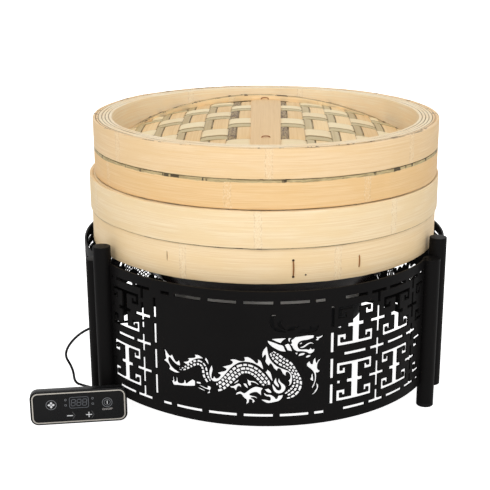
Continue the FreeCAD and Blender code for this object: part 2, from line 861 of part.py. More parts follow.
def lead_route():
    """The lead's points, chosen by hand, from the heater's gland to the handset's gland."""
    way = heater_gland_way()
    start = way * (heater_body_radius + gland_length) + up * (heater_bottom + lead_gland_height)
    behind = handset_depth + gland_length
    before = handset_point(handset_gland_offset, behind + lead_handset_run, handset_gland_height)
    end = handset_point(handset_gland_offset, behind, handset_gland_height)
    low = lead_diameter / 2
    return [start, start + way * lead_heater_run, vector(-170, -77, 95.6), vector(-216, -84, 91.9),
            vector(-249, -65, 55), vector(-238.5, -57, 30), vector(-235, -53, 12),
            vector(-225, -47.5, low + 0.3), vector(-211, -58, low), vector(-207, -73, low),
            vector(-208, -88, low + 3), before, end]


def lead_tube(points):
    """A tube of straight runs joined by the largest tangent arcs that the runs allow."""
    edges = []
    here = points[0]
    radii = []
    for before, corner, after in zip(points[:-2], points[1:-1], points[2:]):
        run_in = (corner - before).Length
        run_out = (after - corner).Length
        into = (corner - before).normalize()
        out = (after - corner).normalize()
        half_turn = into.getAngle(out) / 2
        setback = 0.45 * min(run_in, run_out)
        radii.append(setback / math.tan(half_turn))
        arc_start = corner - into * setback
        arc_end = corner + out * setback
        bisector = (out - into).normalize()
        centre_distance = radii[-1] / math.cos(half_turn)
        arc_middle = corner + bisector * (centre_distance - radii[-1])
        edges.append(Part.LineSegment(here, arc_start).toShape())
        edges.append(Part.Arc(arc_start, arc_middle, arc_end).toShape())
        here = arc_end
    edges.append(Part.LineSegment(here, points[-1]).toShape())
    path = Part.Wire(edges)
    along = (points[1] - points[0]).normalize()
    across = along.cross(up).normalize()
    over = across.cross(along)
    radius = lead_diameter / 2
    corners = []
    for index in range(lead_sides):
        turn = 2 * math.pi * index / lead_sides
        corners.append(points[0] + across * (radius * math.cos(turn)) + over * (radius * math.sin(turn)))
    section = Part.makePolygon(corners + [corners[0]])
    tube = path.makePipeShell([section], True, False)
    expected = Part.Face(section).Area * path.Length
    print("lead length", round(path.Length, 1), "radii", [round(radius, 1) for radius in radii])
    print("lead volume over expected", round(tube.Volume / expected, 4))
    return tube


def gland(base, direction):
    """A tapered boss along a level direction, with a plain tip that the lead leaves."""
    turned = turned_profile([(0, 0), (gland_radius, 0), (lead_diameter / 2 + gland_tip_wall, gland_length),
                             (0, gland_length)], small_sides)
    turned.rotate(vector(0, 0, 0), vector(0, 1, 0), 90)
    turned.rotate(vector(0, 0, 0), up, math.degrees(math.atan2(direction.y, direction.x)))
    turned.translate(base)
    return turned


def build_lead():
    route = lead_route()
    save("lead", lead_tube(route))
    heater_way = heater_gland_way()
    body = cylinder(heater_body_radius, heater_bottom, heater_rim_bottom)
    save("heater_gland", gland(route[0] - heater_way * gland_length, heater_way).cut(body))
    turn = math.radians(handset_turn)
    back_way = vector(-math.sin(turn), math.cos(turn), 0)
    save("handset_gland", gland(route[-1] - back_way * gland_length, back_way))


def build_inlet():
    bottom = heater_bottom + heater_wall + inlet_seat
    place = heater_body_radius + inlet_depth / 2 - inlet_seat
    inlet = block(inlet_width, inlet_depth, bottom, bottom + inlet_height, 0, place)
    inlet = inlet.cut(cylinder(heater_body_radius, heater_bottom, heater_rim_bottom))
    socket = block(inlet_width - 2 * inlet_wall, inlet_depth, bottom + inlet_wall,
                   bottom + inlet_height - inlet_wall, 0, place + inlet_seat + inlet_wall)
    save("power_inlet", inlet.cut(socket))


os.makedirs("parts", exist_ok=True)
build_ring()
build_arms()
build_heater()
build_pan()
build_basket()
build_lid()
build_handset()
build_lead()
build_inlet()
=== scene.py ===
import math
import random
from functools import reduce

import bmesh
import bpy
from mathutils import Matrix, Vector, noise


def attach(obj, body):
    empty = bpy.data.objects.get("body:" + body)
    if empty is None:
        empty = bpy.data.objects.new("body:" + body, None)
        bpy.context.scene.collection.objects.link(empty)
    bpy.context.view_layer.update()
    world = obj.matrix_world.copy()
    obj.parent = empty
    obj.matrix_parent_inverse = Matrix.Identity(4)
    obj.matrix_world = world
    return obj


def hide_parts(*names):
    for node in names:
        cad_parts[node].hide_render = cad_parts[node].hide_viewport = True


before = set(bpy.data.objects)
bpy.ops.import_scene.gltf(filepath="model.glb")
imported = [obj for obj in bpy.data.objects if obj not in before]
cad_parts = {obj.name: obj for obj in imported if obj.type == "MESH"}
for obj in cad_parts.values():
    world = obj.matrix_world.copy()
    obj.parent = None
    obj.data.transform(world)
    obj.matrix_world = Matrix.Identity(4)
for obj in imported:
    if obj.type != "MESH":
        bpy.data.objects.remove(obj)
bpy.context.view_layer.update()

mm = 0.001
print("frame loaded")


# Finishes: nodes written as sums


def shade(r, g, b):  # a colour as seen on screen, 0 to 255
    levels = [part / 255 for part in (r, g, b)]
    return (*[level / 12.92 if level <= 0.04045 else ((level + 0.055) / 1.055) ** 2.4 for level in levels], 1.0)


def toned(tone, *gains):  # the same colour, darker or paler, with one gain or three
    return (*[min(part * gain, 1.0) for part, gain in zip(tone[:3], gains * 3)], 1.0)


class Wire:  # one socket of a material
    def __init__(self, tree, socket=None):
        self.tree = tree
        self.socket = socket

    def node(self, kind, settings=None, sockets=None, out=0):
        made = self.tree.nodes.new(kind)
        for key, value in (settings or {}).items():
            setattr(made, key, value)
        for key, value in (sockets or {}).items():
            self.plug(made.inputs[key], value)
        return Wire(self.tree, made.outputs[out])

    def plug(self, entry, value):
        if isinstance(value, Wire):
            self.tree.links.new(value.socket, entry)
        else:
            entry.default_value = value

    def sum(self, operation, a, b=0.0):
        return self.node("ShaderNodeMath", {"operation": operation}, {0: a, 1: b})

    def __add__(self, other):
        return self.sum("ADD", self, other)

    def __radd__(self, other):
        return self.sum("ADD", other, self)

    def __sub__(self, other):
        return self.sum("SUBTRACT", self, other)

    def __rsub__(self, other):
        return self.sum("SUBTRACT", other, self)

    def __mul__(self, other):
        return self.sum("MULTIPLY", self, other)

    def __rmul__(self, other):
        return self.sum("MULTIPLY", other, self)

    def __truediv__(self, other):
        return self.sum("DIVIDE", self, other)

    def size(self):
        return self.sum("ABSOLUTE", self)

    def most(self, other):
        return self.sum("MAXIMUM", self, other)

    def step(self, low, high):  # 0 below low, 1 above high, soft between
        return self.node("ShaderNodeMapRange", {"interpolation_type": "SMOOTHSTEP"},
                         {0: self, 1: low, 2: high, 3: 0.0, 4: 1.0})

    def fade(self, low, high):  # 1 below low, 0 above high
        return 1 - self.step(low, high)

    def blend(self, a, b):  # this socket is the factor
        return self.node("ShaderNodeMix", {"data_type": "RGBA"}, {0: self, 6: a, 7: b}, out=2)


class Finish(Wire):  # one material and its shader
    def __init__(self, name, **fixed):
        self.material = bpy.data.materials.new(name)
        self.material.use_nodes = True
        super().__init__(self.material.node_tree)
        self.shader = self.tree.nodes["Principled BSDF"]
        self.set(**fixed)
        self.place = self.node("ShaderNodeTexCoord", out=3)

    def axis(self, index):
        return self.node("ShaderNodeSeparateXYZ", None, {0: self.place}, out=index)

    def grain(self, scale, detail=3.0, rough=0.55, move=(0, 0, 0)):
        moved = self.node("ShaderNodeMapping", None, {0: self.place, 1: move, 3: scale})
        return self.node("ShaderNodeTexNoise", None, {"Vector": moved, "Scale": 1.0, "Detail": detail,
                                                      "Roughness": rough})

    def set(self, **links):
        for key, value in links.items():
            self.plug(self.shader.inputs[key.replace("_", " ")], value)
        return self.material

    def bump(self, height, strength=0.3, distance=0.0003):
        self.set(Normal=self.node("ShaderNodeBump", None, {"Strength": strength, "Distance": distance,
                                                           "Height": height}))


# Shapes: small helpers round the mesh operators


def finished(bm, name, body, *finishes, slot, node=None, smooth=40, turned=True):
    bmesh.ops.remove_doubles(bm, verts=bm.verts, dist=1e-7)
    if turned:
        bmesh.ops.recalc_face_normals(bm, faces=bm.faces)
    mesh = bpy.data.meshes.new(name)
    bm.to_mesh(mesh)
    bm.free()
    mesh.shade_smooth()
    mesh.set_sharp_from_angle(angle=math.radians(smooth))
    piece = bpy.data.objects.new(name, mesh)
    bpy.context.scene.collection.objects.link(piece)
    for finish in finishes:
        mesh.materials.append(finish)
    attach(piece, body)
    if node:
        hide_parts(node)
    return piece


def spun(bm, outline, steps=96, x=0.0, y=0.0, closed=True):
    verts = [bm.verts.new((radius * mm, 0, height * mm)) for radius, height in outline]
    edges = [bm.edges.new(pair) for pair in zip(verts, verts[1:] + verts[:1] if closed else verts[1:])]
    before = set(bm.faces)
    bmesh.ops.spin(bm, geom=verts + edges, cent=(0, 0, 0), axis=(0, 0, 1), angle=2 * math.pi, steps=steps,
                   use_merge=True)
    made = list({vert for face in bm.faces if face not in before for vert in face.verts})
    bmesh.ops.remove_doubles(bm, verts=made, dist=1e-7)
    made = [vert for vert in made if vert.is_valid]
    bmesh.ops.translate(bm, vec=(x * mm, y * mm, 0), verts=made)
    return made


def turnedPiece(name, body, finish, node, slot, outline, steps, closed=True, smooth=40):
    bm = bmesh.new()
    spun(bm, outline, steps, closed=closed)
    finished(bm, name, body, finish, slot=slot, node=node, smooth=smooth)


def rounded(outline, radii, segments=3):
    points = []
    for index, place in enumerate(outline):
        corner = Vector(place)
        before = Vector(outline[index - 1]) - corner
        after = Vector(outline[(index + 1) % len(outline)]) - corner
        size = min(radii[index], 0.45 * before.length, 0.45 * after.length)
        if size <= 0:
            points.append(place)
            continue
        start = corner + before.normalized() * size
        end = corner + after.normalized() * size
        for step in range(segments + 1):
            t = step / segments
            point = (1 - t) ** 2 * start + 2 * t * (1 - t) * corner + t * t * end
            points.append((point.x, point.y))
    return points


def boxed(bm, x, y, z, edge):
    made = bmesh.ops.create_cube(bm, size=1.0)["verts"]
    bmesh.ops.scale(bm, vec=Vector([high - low for low, high in (x, y, z)]) * mm, verts=made)
    bmesh.ops.translate(bm, vec=Vector([(low + high) / 2 for low, high in (x, y, z)]) * mm, verts=made)
    edges = {line for vert in made for line in vert.link_edges}
    bmesh.ops.bevel(bm, geom=list(edges), offset=edge * mm, segments=3, affect="EDGES", profile=0.5, material=-1)


def cutPlate(outline, holes, thickness):
    curve = bpy.data.curves.new("plate", "CURVE")
    curve.dimensions = "2D"
    curve.fill_mode = "BOTH"
    curve.extrude = thickness / 2 * mm
    for points in [outline] + holes:
        spline = curve.splines.new("POLY")
        spline.points.add(len(points) - 1)
        for point, (x, y) in zip(spline.points, points):
            point.co = (x * mm, y * mm, 0, 1)
        spline.use_cyclic_u = True
    return curveMesh(curve)


def curveMesh(curve):
    holder = bpy.data.objects.new("holder", curve)
    bpy.context.scene.collection.objects.link(holder)
    bpy.context.view_layer.update()
    mesh = bpy.data.meshes.new_from_object(holder.evaluated_get(bpy.context.evaluated_depsgraph_get()))
    bm = bmesh.new()
    bm.from_mesh(mesh)
    bpy.data.objects.remove(holder)
    bpy.data.curves.remove(curve)
    bpy.data.meshes.remove(mesh)
    bmesh.ops.remove_doubles(bm, verts=bm.verts, dist=1e-6)
    return bm


def bentWire(name, points, radius, sides=2):
    curve = bpy.data.curves.new(name, "CURVE")
    curve.dimensions = "3D"
    curve.bevel_depth = radius * mm
    curve.bevel_resolution = sides
    curve.use_fill_caps = True
    spline = curve.splines.new("NURBS")
    spline.points.add(len(points) - 1)
    for point, place in zip(spline.points, points):
        point.co = (*(Vector(place) * mm), 1)
    spline.order_u = 3
    spline.use_endpoint_u = True
    return curve


def words(text, size, thickness=0.02):
    curve = bpy.data.curves.new("words", "FONT")
    curve.body = text
    curve.size = size * mm
    curve.extrude = thickness * mm
    curve.align_x = "CENTER"
    curve.align_y = "CENTER"
    return curveMesh(curve)


def joined(bm, other, matrix=None, material=0):
    if matrix is not None:
        bmesh.ops.transform(other, matrix=matrix, verts=other.verts)
    for face in other.faces:
        face.material_index = material
    mesh = bpy.data.meshes.new("join")
    other.to_mesh(mesh)
    other.free()
    bm.from_mesh(mesh)
    bpy.data.meshes.remove(mesh)


def around(x, y, z, degrees):  # a place on a circle seen from above, 0 in front
    turn = math.radians(degrees)
    return Vector((x * math.sin(turn) + y * math.cos(turn), -x * math.cos(turn) + y * math.sin(turn), z))


# Camera, floor and light

view = {"lens": 80.5, "place": (-69.7, -1293.2, 567.3), "along": (0.0538, 0.9986), "down": 17.309,
        "roll": 0.12, "shift": -0.041}


def setCamera():
    camera = bpy.data.objects.new("camera", bpy.data.cameras.new("camera"))
    camera.data.lens = view["lens"]
    camera.data.sensor_width = 36
    camera.data.shift_x = view["shift"]
    camera.data.clip_start = 0.01
    camera.data.clip_end = 100
    down, roll = math.radians(view["down"]), math.radians(view["roll"])
    east, north = view["along"]
    ahead = Vector((east * math.cos(down), north * math.cos(down), -math.sin(down)))
    right = Vector((north, -east, 0)).normalized()
    over = right.cross(ahead)
    across = right * math.cos(roll) + over * math.sin(roll)
    upright = over * math.cos(roll) - right * math.sin(roll)
    turn = Matrix((across, upright, -ahead)).transposed().to_4x4()
    camera.matrix_world = Matrix.Translation(Vector(view["place"]) * mm) @ turn
    bpy.context.scene.collection.objects.link(camera)
    bpy.context.scene.camera = camera


studio = {"surround": 0.55, "floor": 0.9, "lamps": (  # name, place, height of the aim, size, watts
    ("keyLamp", (-0.9, -2.3, 1.9), 0.2, 1.6, 29.0),
    ("fillLamp", (1.3, -2.2, 1.3), 0.15, 1.8, 11.5),
    ("backLamp", (0.3, 1.9, 2.0), 0.3, 1.8, 8.0))}


def setStudio():
    bpy.context.scene.view_settings.view_transform = "Standard"
    world = bpy.data.worlds.new("studio")
    bpy.context.scene.world = world
    world.use_nodes = True
    tree = Wire(world.node_tree)
    seen = reduce(Wire.most, [tree.node("ShaderNodeLightPath", out=index) for index in (0, 3, 6)])
    background = world.node_tree.nodes["Background"].inputs
    tree.plug(background["Strength"], seen * (1 - studio["surround"]) + studio["surround"])
    tree.plug(background["Color"], (1, 1, 1, 1))
    for name, place, aim, size, watts in studio["lamps"]:
        lamp = bpy.data.lights.new(name, "AREA")
        lamp.energy = watts
        lamp.size = size
        holder = bpy.data.objects.new(name, lamp)
        holder.location = place
        holder.rotation_euler = (Vector((0, 0, aim)) - Vector(place)).to_track_quat("-Z", "Y").to_euler()
        bpy.context.scene.collection.objects.link(holder)
    finish = Finish("floorWhite", Roughness=0.8, Specular_IOR_Level=0.1)
    finish.set(Base_Color=finish.grain((3, 3, 3)).blend((0.93, 0.93, 0.93, 1), (0.95, 0.95, 0.95, 1)))
    level = finish.node("ShaderNodeLightPath", out=0) * studio["floor"]
    glow = finish.node("ShaderNodeEmission", None, {0: (1, 1, 1, 1), 1: level})
    total = finish.node("ShaderNodeAddShader", None, {0: glow, 1: Wire(finish.tree, finish.shader.outputs[0])})
    finish.plug(finish.tree.nodes["Material Output"].inputs["Surface"], total)
    bm = bmesh.new()
    bmesh.ops.create_grid(bm, x_segments=8, y_segments=8, size=6.0)
    bmesh.ops.translate(bm, vec=(0, 3, -0.0005), verts=bm.verts)
    mesh = bpy.data.meshes.new("floor")
    bm.to_mesh(mesh)
    bm.free()
    floor = bpy.data.objects.new("floor", mesh)
    mesh.materials.append(finish.material)
    bpy.context.scene.collection.objects.link(floor)


setCamera()
setStudio()
print("camera and studio ready")


# Finishes of metal, plastic and rubber


def speckled(name, tone, rough, fine=900, depth=0.00012, strength=0.4, metal=0.0, coat=0.0, patch=0.12, shine=0.5):
    finish = Finish(name, Metallic=metal, Coat_Roughness=0.12, Specular_IOR_Level=shine)
    broad = finish.grain((7, 7, 7), 3)
    small = finish.grain((fine, fine, fine), 2)
    colour = (broad * 0.5 + small * 0.5).step(0.35, 0.65).blend(toned(tone, 1 - patch), toned(tone, 1 + patch))
    finish.bump(small, strength, depth)
    return finish.set(Base_Color=colour, Roughness=rough - 0.06 + broad * 0.08 + small * 0.04, Coat_Weight=coat)


def printed(name, tone, rough=0.4):
    return speckled(name, tone, rough, depth=0.00001, strength=0.05, patch=0.04)


powderBlack = speckled("powderBlack", shade(20, 19, 19), 0.42, 1400, 0.0001, 0.25, shine=0.045)
footRubber = speckled("footRubber", shade(20, 20, 21), 0.75, 700, shine=0.15)
screwSteel = speckled("screwSteel", shade(42, 41, 40), 0.4, metal=0.6)
heaterBlack = speckled("heaterBlack", shade(26, 26, 27), 0.35, 1600, 0.00005, 0.2, shine=0.2)
glassBlack = speckled("glassBlack", shade(12, 12, 13), 0.1, 300, 0.00001, 0.05, coat=0.8)
carrierGrey = speckled("carrierGrey", shade(52, 52, 54), 0.5, 1200)
boardGreen = speckled("boardGreen", shade(30, 92, 50), 0.4, 500, 0.00005)
glossBlack = speckled("glossBlack", shade(20, 20, 21), 0.28, 1500, 0.00003, 0.12, coat=0.08, shine=0.14)
shellBlack = speckled("shellBlack", shade(30, 30, 31), 0.34, 1800, 0.00006, 0.2, shine=0.3)
leadRubber = speckled("leadRubber", shade(20, 20, 21), 0.5, shine=0.2)
# painted reflection: the pan's dark maroon-brown tone is partly its own dark enamel and partly the bamboo reflected in
# its gloss
panEnamelAndReflection = speckled("panEnamelAndReflection", shade(34, 19, 16), 0.2, 500, 0.00004, 0.1, coat=0.05, patch=0.2, shine=0.16)
displayBlack = speckled("displayBlack", shade(24, 24, 26), 0.2, 400, 0.00001, 0.05, coat=0.05, shine=0.15)
markWhite = printed("markWhite", shade(225, 226, 228))
markGrey = printed("markGrey", shade(84, 87, 92), 0.35)
markFaint = printed("markFaint", shade(78, 78, 80))
markFrame = printed("markFrame", shade(120, 122, 126), 0.35)
ledOff = printed("ledOff", shade(196, 190, 186), 0.3)


def brushedSteel(name, tone, metal, scale):
    finish = Finish(name, Metallic=metal)
    lines = finish.grain(scale, 2)
    broad = finish.grain((9, 9, 9), 2)
    colour = (lines * 0.6 + broad * 0.4).blend(toned(tone, 0.85), tone)
    finish.bump(lines, 0.2, 0.00005)
    return finish.set(Base_Color=colour, Roughness=0.22 + lines * 0.2)


# painted reflection: the rim's steel is only partly metallic, so its pale grey tone stands in for bright reflections it
# would not get inside the dark ring
rimSteelSheen = brushedSteel("rimSteelSheen", shade(206, 202, 196), 0.45, (5, 5, 1800))
trimSteel = brushedSteel("trimSteel", shade(214, 208, 198), 0.6, (5, 1800, 1800))


def woundCopper():
    finish = Finish("woundCopper", Metallic=0.9)
    x, y = finish.axis(0), finish.axis(1)
    reach = finish.sum("SQRT", x * x + y * y)
    turns = finish.sum("SINE", reach * (2 * math.pi / 0.0029)) * 0.5 + 0.5
    # painted shade: the dark copper tone falls in the grooves between the wound turns, where the bump sinks
    colour = (turns * 0.7 + finish.grain((60, 60, 60)) * 0.3).blend(shade(96, 46, 24), shade(208, 128, 82))
    finish.bump(turns, 0.8, 0.0008)
    return finish.set(Base_Color=colour, Roughness=0.3 + turns * 0.15)


copperWound = woundCopper()


# Finishes of bamboo

bamboo = {
    "lidUpper": {"tone": shade(247, 216, 170), "rings": (-55.4, -2.0, 48.1, 118.0, 176.0, -118.0)},
    "lidLower": {"tone": shade(243, 206, 152), "rings": (-62.2, -14.3, 29.1, 96.0, 150.0, -130.0)},
    "basketUpper": {"tone": shade(250, 226, 184), "rings": (-70.0, -5.1, 39.6, 104.0, 168.0, -134.0)},
    "basketLower": {"tone": shade(249, 223, 180), "rings": (-80.0, -28.5, 19.3, 78.0, 140.0, -150.0)},
    "keeper": {"tone": shade(252, 226, 180), "rings": (-168.0, -112.0, -28.0, 62.0, 152.0)},
    # painted light: the inner hoops' tone is paler than their bamboo, to lift the shade that falls inside the basket
    # and lid
    "inner": {"tone": shade(255, 233, 197), "rings": (-150.0, -92.0, -40.0, 25.0, 88.0, 162.0)},
}


def bambooBand(name, radius, low, high, grooves=(), bark=(0.0004, 0.0004), barkAndSeamShade=(0.4, 0.4), arch=0.0):
    facts = bamboo[name]
    seed = (len(name) * 0.37, radius * 7.1, low * 11.3)
    finish = Finish("bamboo" + name[0].upper() + name[1:], Specular_IOR_Level=0.3)
    x, y, z = (finish.axis(index) for index in range(3))
    if arch:  # a hoop that drops to both sides
        z = z + x * x * arch
    arc = finish.sum("ARCTAN2", x, 0 - y) * radius
    streaks = finish.grain((14, 14, 1500), 4, 0.6, seed)
    fibres = finish.grain((40, 40, 5200), 2, 0.5, seed)
    broad = finish.grain((17, 17, 70), 4, 0.6, seed)
    fleck = finish.grain((150, 150, 2600), 2, 0.6, seed)
    tone = facts["tone"]
    pale = toned(tone, 1.04, 1.06, 1.12)
    colour = streaks.step(0.25, 0.7).blend(toned(tone, 0.92, 0.85, 0.74), pale)
    colour = (broad.step(0.42, 0.62) * 0.6).blend(colour, toned(tone, 0.97, 0.92, 0.82))
    colour = (fibres.step(0.5, 0.85) * 0.2).blend(colour, toned(tone, 0.74, 0.62, 0.46))
    colour = (fleck.step(0.68, 0.78) * 0.3).blend(colour, shade(188, 144, 92))
    wobble = (finish.grain((6, 6, 150), 3, 0.6, seed) - 0.5) * 0.006
    speck = finish.grain((800, 800, 460), 2, 0.7, seed)
    aways = [(arc - math.radians(degrees) * radius + wobble).size() for degrees in facts["rings"]]
    border = reduce(Wire.most, [(away - 0.0036).size().fade(0.0002, 0.0009) for away in aways])
    zone = reduce(Wire.most, [away.fade(0.003, 0.0056) for away in aways])
    colour = (zone * 0.35).blend(colour, pale)
    colour = (zone * speck.step(0.52, 0.62) * 0.24).blend(colour, shade(206, 166, 118))
    colour = (zone * speck.fade(0.38, 0.46) * 0.28).blend(colour, shade(255, 244, 222))
    colour = (border * speck.step(0.4, 0.6) * 0.2).blend(colour, shade(178, 134, 84))
    ragged = finish.grain((22, 22, 40), 4, 0.7, seed)
    lowEdge = (z - low - (ragged * 1.1 + 0.2) * bark[0]).fade(-0.0002, 0.0004)
    highEdge = (high - z - (ragged * 1.1 + 0.2) * bark[1]).fade(-0.0002, 0.0004)
    edge = (lowEdge * barkAndSeamShade[0]).most(highEdge * barkAndSeamShade[1])
    skin = finish.grain((90, 90, 900), 3, 0.7, seed).step(0.3, 0.7).blend(shade(136, 120, 82), shade(206, 190, 144))
    chip = finish.grain((56, 56, 8), 3, 0.7, (3.1, 0, low * 9)).step(0.57, 0.6)
    colour = edge.blend(colour, skin)
    # painted shadow: a dark line along each band's edges, partly the dark joint between the bands and partly the shadow
    # where one band overlaps the next
    seam = ((z - low).fade(0.0001, 0.0008) * barkAndSeamShade[0]).most((high - z).fade(0.0001, 0.0006) * barkAndSeamShade[1])
    colour = (seam * 0.8).blend(colour, shade(84, 66, 42))
    colour = (lowEdge.most(highEdge) * chip * 0.85).blend(colour, shade(44, 34, 24))
    if grooves:
        reach = finish.sum("SQRT", x * x + y * y) + (ragged - 0.5) * 0.0006
        groove = reduce(Wire.most, [(reach - place).size().fade(0.0001, 0.0007) for place in grooves])
        colour = (groove * 0.6).blend(colour, shade(104, 78, 48))
    finish.bump(streaks * 0.5 + fibres * 0.3 + zone * 0.8 - border * 0.3 - edge * chip * 0.9, 0.3, 0.0006)
    return finish.set(Base_Color=colour, Roughness=0.42 + streaks * 0.16 + fibres * 0.08)


def splitBamboo(name, tone, along, pitch, dark=(), spread=0.16, width=0.0, shift=0.0, turn=0.0):
    finish = Finish(name, Specular_IOR_Level=0.3)
    if turn:  # the strips lie turned, so the pattern is turned back
        finish.place = finish.node("ShaderNodeMapping", None, {0: finish.place, 2: (0, 0, math.radians(-turn))})
    x, y = finish.axis(0), finish.axis(1)
    across = x if along == "y" else y
    scale = (1500, 16, 200) if along == "y" else (16, 1500, 200)
    lines = finish.grain(scale, 3, 0.6)
    finer = finish.grain(tuple(part * 2.3 for part in scale), 2)
    coarse = finish.grain(tuple(part * 0.35 for part in scale), 2)
    broad = finish.grain((40, 12, 10) if along == "y" else (12, 40, 10), 2)
    local = (across - shift) / pitch + 0.5
    count = finish.sum("FLOOR", local)
    strip = finish.node("ShaderNodeTexWhiteNoise", {"noise_dimensions": "1D"}, {"W": count})
    deep = toned(tone, 1 - spread * 0.9, 1 - spread * 1.5, 1 - spread * 2.3)
    pale = toned(tone, 1 + spread * 0.6)
    colour = (lines * 0.35 + coarse * 0.35 + broad * 0.2 + strip * 0.2).step(0.3, 0.78).blend(deep, pale)
    colour = (finer.step(0.55, 0.8) * 0.25).blend(colour, deep)
    for middle, reach in dark:
        patch = (across - middle * mm).size().fade(reach * mm * 0.9, reach * mm)
        spots = finish.grain((420, 160, 100), 3, 0.7).step(0.42, 0.6)
        colour = (patch * 0.55).blend(colour, shade(150, 122, 84))
        colour = (patch * spots * 0.85).blend(colour, shade(80, 56, 36))
    # painted shade: a dark line along both edges of each strip, where the strips meet and shade one another
    if width:  # darker along both edges of each strip
        away = ((local - count) - 0.5).size() * pitch
        rim = away.step(width / 2 - 0.0011, width / 2 - 0.0001)
        colour = (rim * 0.55).blend(colour, shade(112, 88, 54))
    finish.bump(lines * 0.6 + finer * 0.3 + coarse * 0.4, 0.4, 0.0004)
    return finish.set(Base_Color=colour, Roughness=0.5 + lines * 0.15)


# The lead

leadFacts = {"diameter": 3.0, "glandTurn": -59.0, "glandTip": 129.0, "height": 98.0}
handset = {"bearing": -56.0, "distance": 266.5, "turn": 5.0, "left": -53.4, "right": 55.8, "height": 41.5,
           "depth": 10.0, "corner": 9.2, "glandOffset": 14.0, "glandHeight": 12.0, "glandLength": 8.0}
handsetPlace = around(handset["distance"], 0, 0, handset["bearing"])
handsetFrame = Matrix.Translation(handsetPlace * mm) @ Matrix.Rotation(math.radians(handset["turn"]), 4, "Z")


def handsetSpot(x, y, z):
    return handsetFrame @ (Vector((x, y, z)) * mm) / mm


def glandPiece(name, place, direction, node):
    bm = bmesh.new()
    outline = [(0, 0), (3.4, 0), (3.4, 1.2), (3.1, 1.6), (3.1, 2.4), (3.3, 2.8), (2.9, 3.2), (2.9, 3.9), (3.05, 4.3),
               (2.65, 4.7), (2.65, 5.4), (2.75, 5.8), (2.35, 6.2), (2.3, 7.4), (2.0, 8.0), (0, 8.0)]
    spun(bm, outline, 40, closed=False)
    turn = direction.to_track_quat("Z", "Y").to_matrix().to_4x4()
    bmesh.ops.transform(bm, matrix=Matrix.Translation(place * mm) @ turn, verts=bm.verts)
    return finished(bm, name, "frame", leadRubber, node=node, slot="lead_rubber")


def buildLead():
    way = around(1, 0, 0, leadFacts["glandTurn"])
    start = way * leadFacts["glandTip"] + Vector((0, 0, leadFacts["height"]))
    behind = handset["depth"] + handset["glandLength"]
    end = handsetSpot(handset["glandOffset"], behind, handset["glandHeight"])
    before = handsetSpot(handset["glandOffset"], behind + 14, handset["glandHeight"])
    route = [start, start + way * 28, (-170, -77, 95.6), (-216, -84, 91.9), (-247, -64, 53), (-236, -58, 28),
             (-235.5, -56, 9), (-226, -49, 1.7), (-211, -58, 1.5), (-207, -73, 1.5), (-207, -88, 4.5),
             before, end]
    curve = bentWire("lead", route, leadFacts["diameter"] / 2, 6)
    curve.materials.append(leadRubber)
    lead = bpy.data.objects.new("handsetLead", curve)
    bpy.context.scene.collection.objects.link(lead)
    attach(lead, "frame")
    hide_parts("lead")
    turn = math.radians(handset["turn"])
    backWay = Vector((-math.sin(turn), math.cos(turn), 0))
    glandOne = glandPiece("heaterGland", start - way * handset["glandLength"], way, "heater_gland")
    glandTwo = glandPiece("handsetGland", end - backWay * handset["glandLength"], backWay, "handset_gland")


buildLead()
print("lead made")


# Ring: posts, panels and their fretwork

ring = {"posts": 218.0, "postRadius": 10.0, "halfStep": 10.2, "panelOuter": 203.0, "panelCentre": 20.0,
        "panelBottom": 28.0, "panelTop": 182.0, "thickness": 2.0, "foot": 4.0, "cap": 2.0, "rise": 20.0,
        "arcHalf": 61.3, "slip": -5.6, "slipReach": 125.0, "cuts": 96}


def slip(x, y):  # the left joint stands a little further out than the other two
    joint = around(ring["posts"], 0, 0, -60)
    near = max(0.0, 1 - (Vector((x, y)) - joint.to_2d()).length / ring["slipReach"])
    return ring["slip"] * near * near * (3 - 2 * near)


def slipped(bm):
    for vert in bm.verts:
        vert.co.x += slip(vert.co.x / mm, vert.co.y / mm) * mm


def postSpots(side):  # low posts stand at side -1 of each joint, high posts at side 1
    spots = [around(ring["posts"], side * ring["halfStep"], 0, degrees) for degrees in (60, 180, 300)]
    spots[2].x += ring["slip"]
    return spots


def roundPosts(bm, side, outline, radii, segments=3):
    for spot in postSpots(side):
        spun(bm, rounded(outline, radii, segments), 72, spot.x, spot.y, closed=False)


def buildPosts():
    radius, foot, cap = ring["postRadius"], ring["foot"], ring["cap"]
    caps = bmesh.new()
    for name, side, low, high, node in (("lowPosts", -1, foot, ring["panelTop"], "low_posts"),
                                        ("highPosts", 1, ring["rise"], ring["panelTop"] + ring["rise"], "high_posts")):
        seam = high - cap
        bm = bmesh.new()
        roundPosts(bm, side, [(0, low), (radius, low), (radius, seam), (0, seam)], [0, 0.5, 0.15, 0])
        finished(bm, name, "frame", powderBlack, slot="powder_black", node=node)
        roundPosts(caps, side, [(0, seam), (radius, seam), (radius, high), (0, high)], [0, 0.15, 0.9, 0], 5)
    finished(caps, "postCaps", "frame", powderBlack, slot="powder_black", node="post_caps")
    bm = bmesh.new()
    roundPosts(bm, -1, [(0, 0), (radius, 0), (radius, 1.6), (radius - 0.5, 2.0), (radius - 0.5, 2.4), (radius, 2.8),
                        (radius, foot), (0, foot)], [0, 0.8, 0, 0, 0, 0, 0.3, 0])
    finished(bm, "postFeet", "frame", footRubber, slot="foot_rubber", node="post_feet")


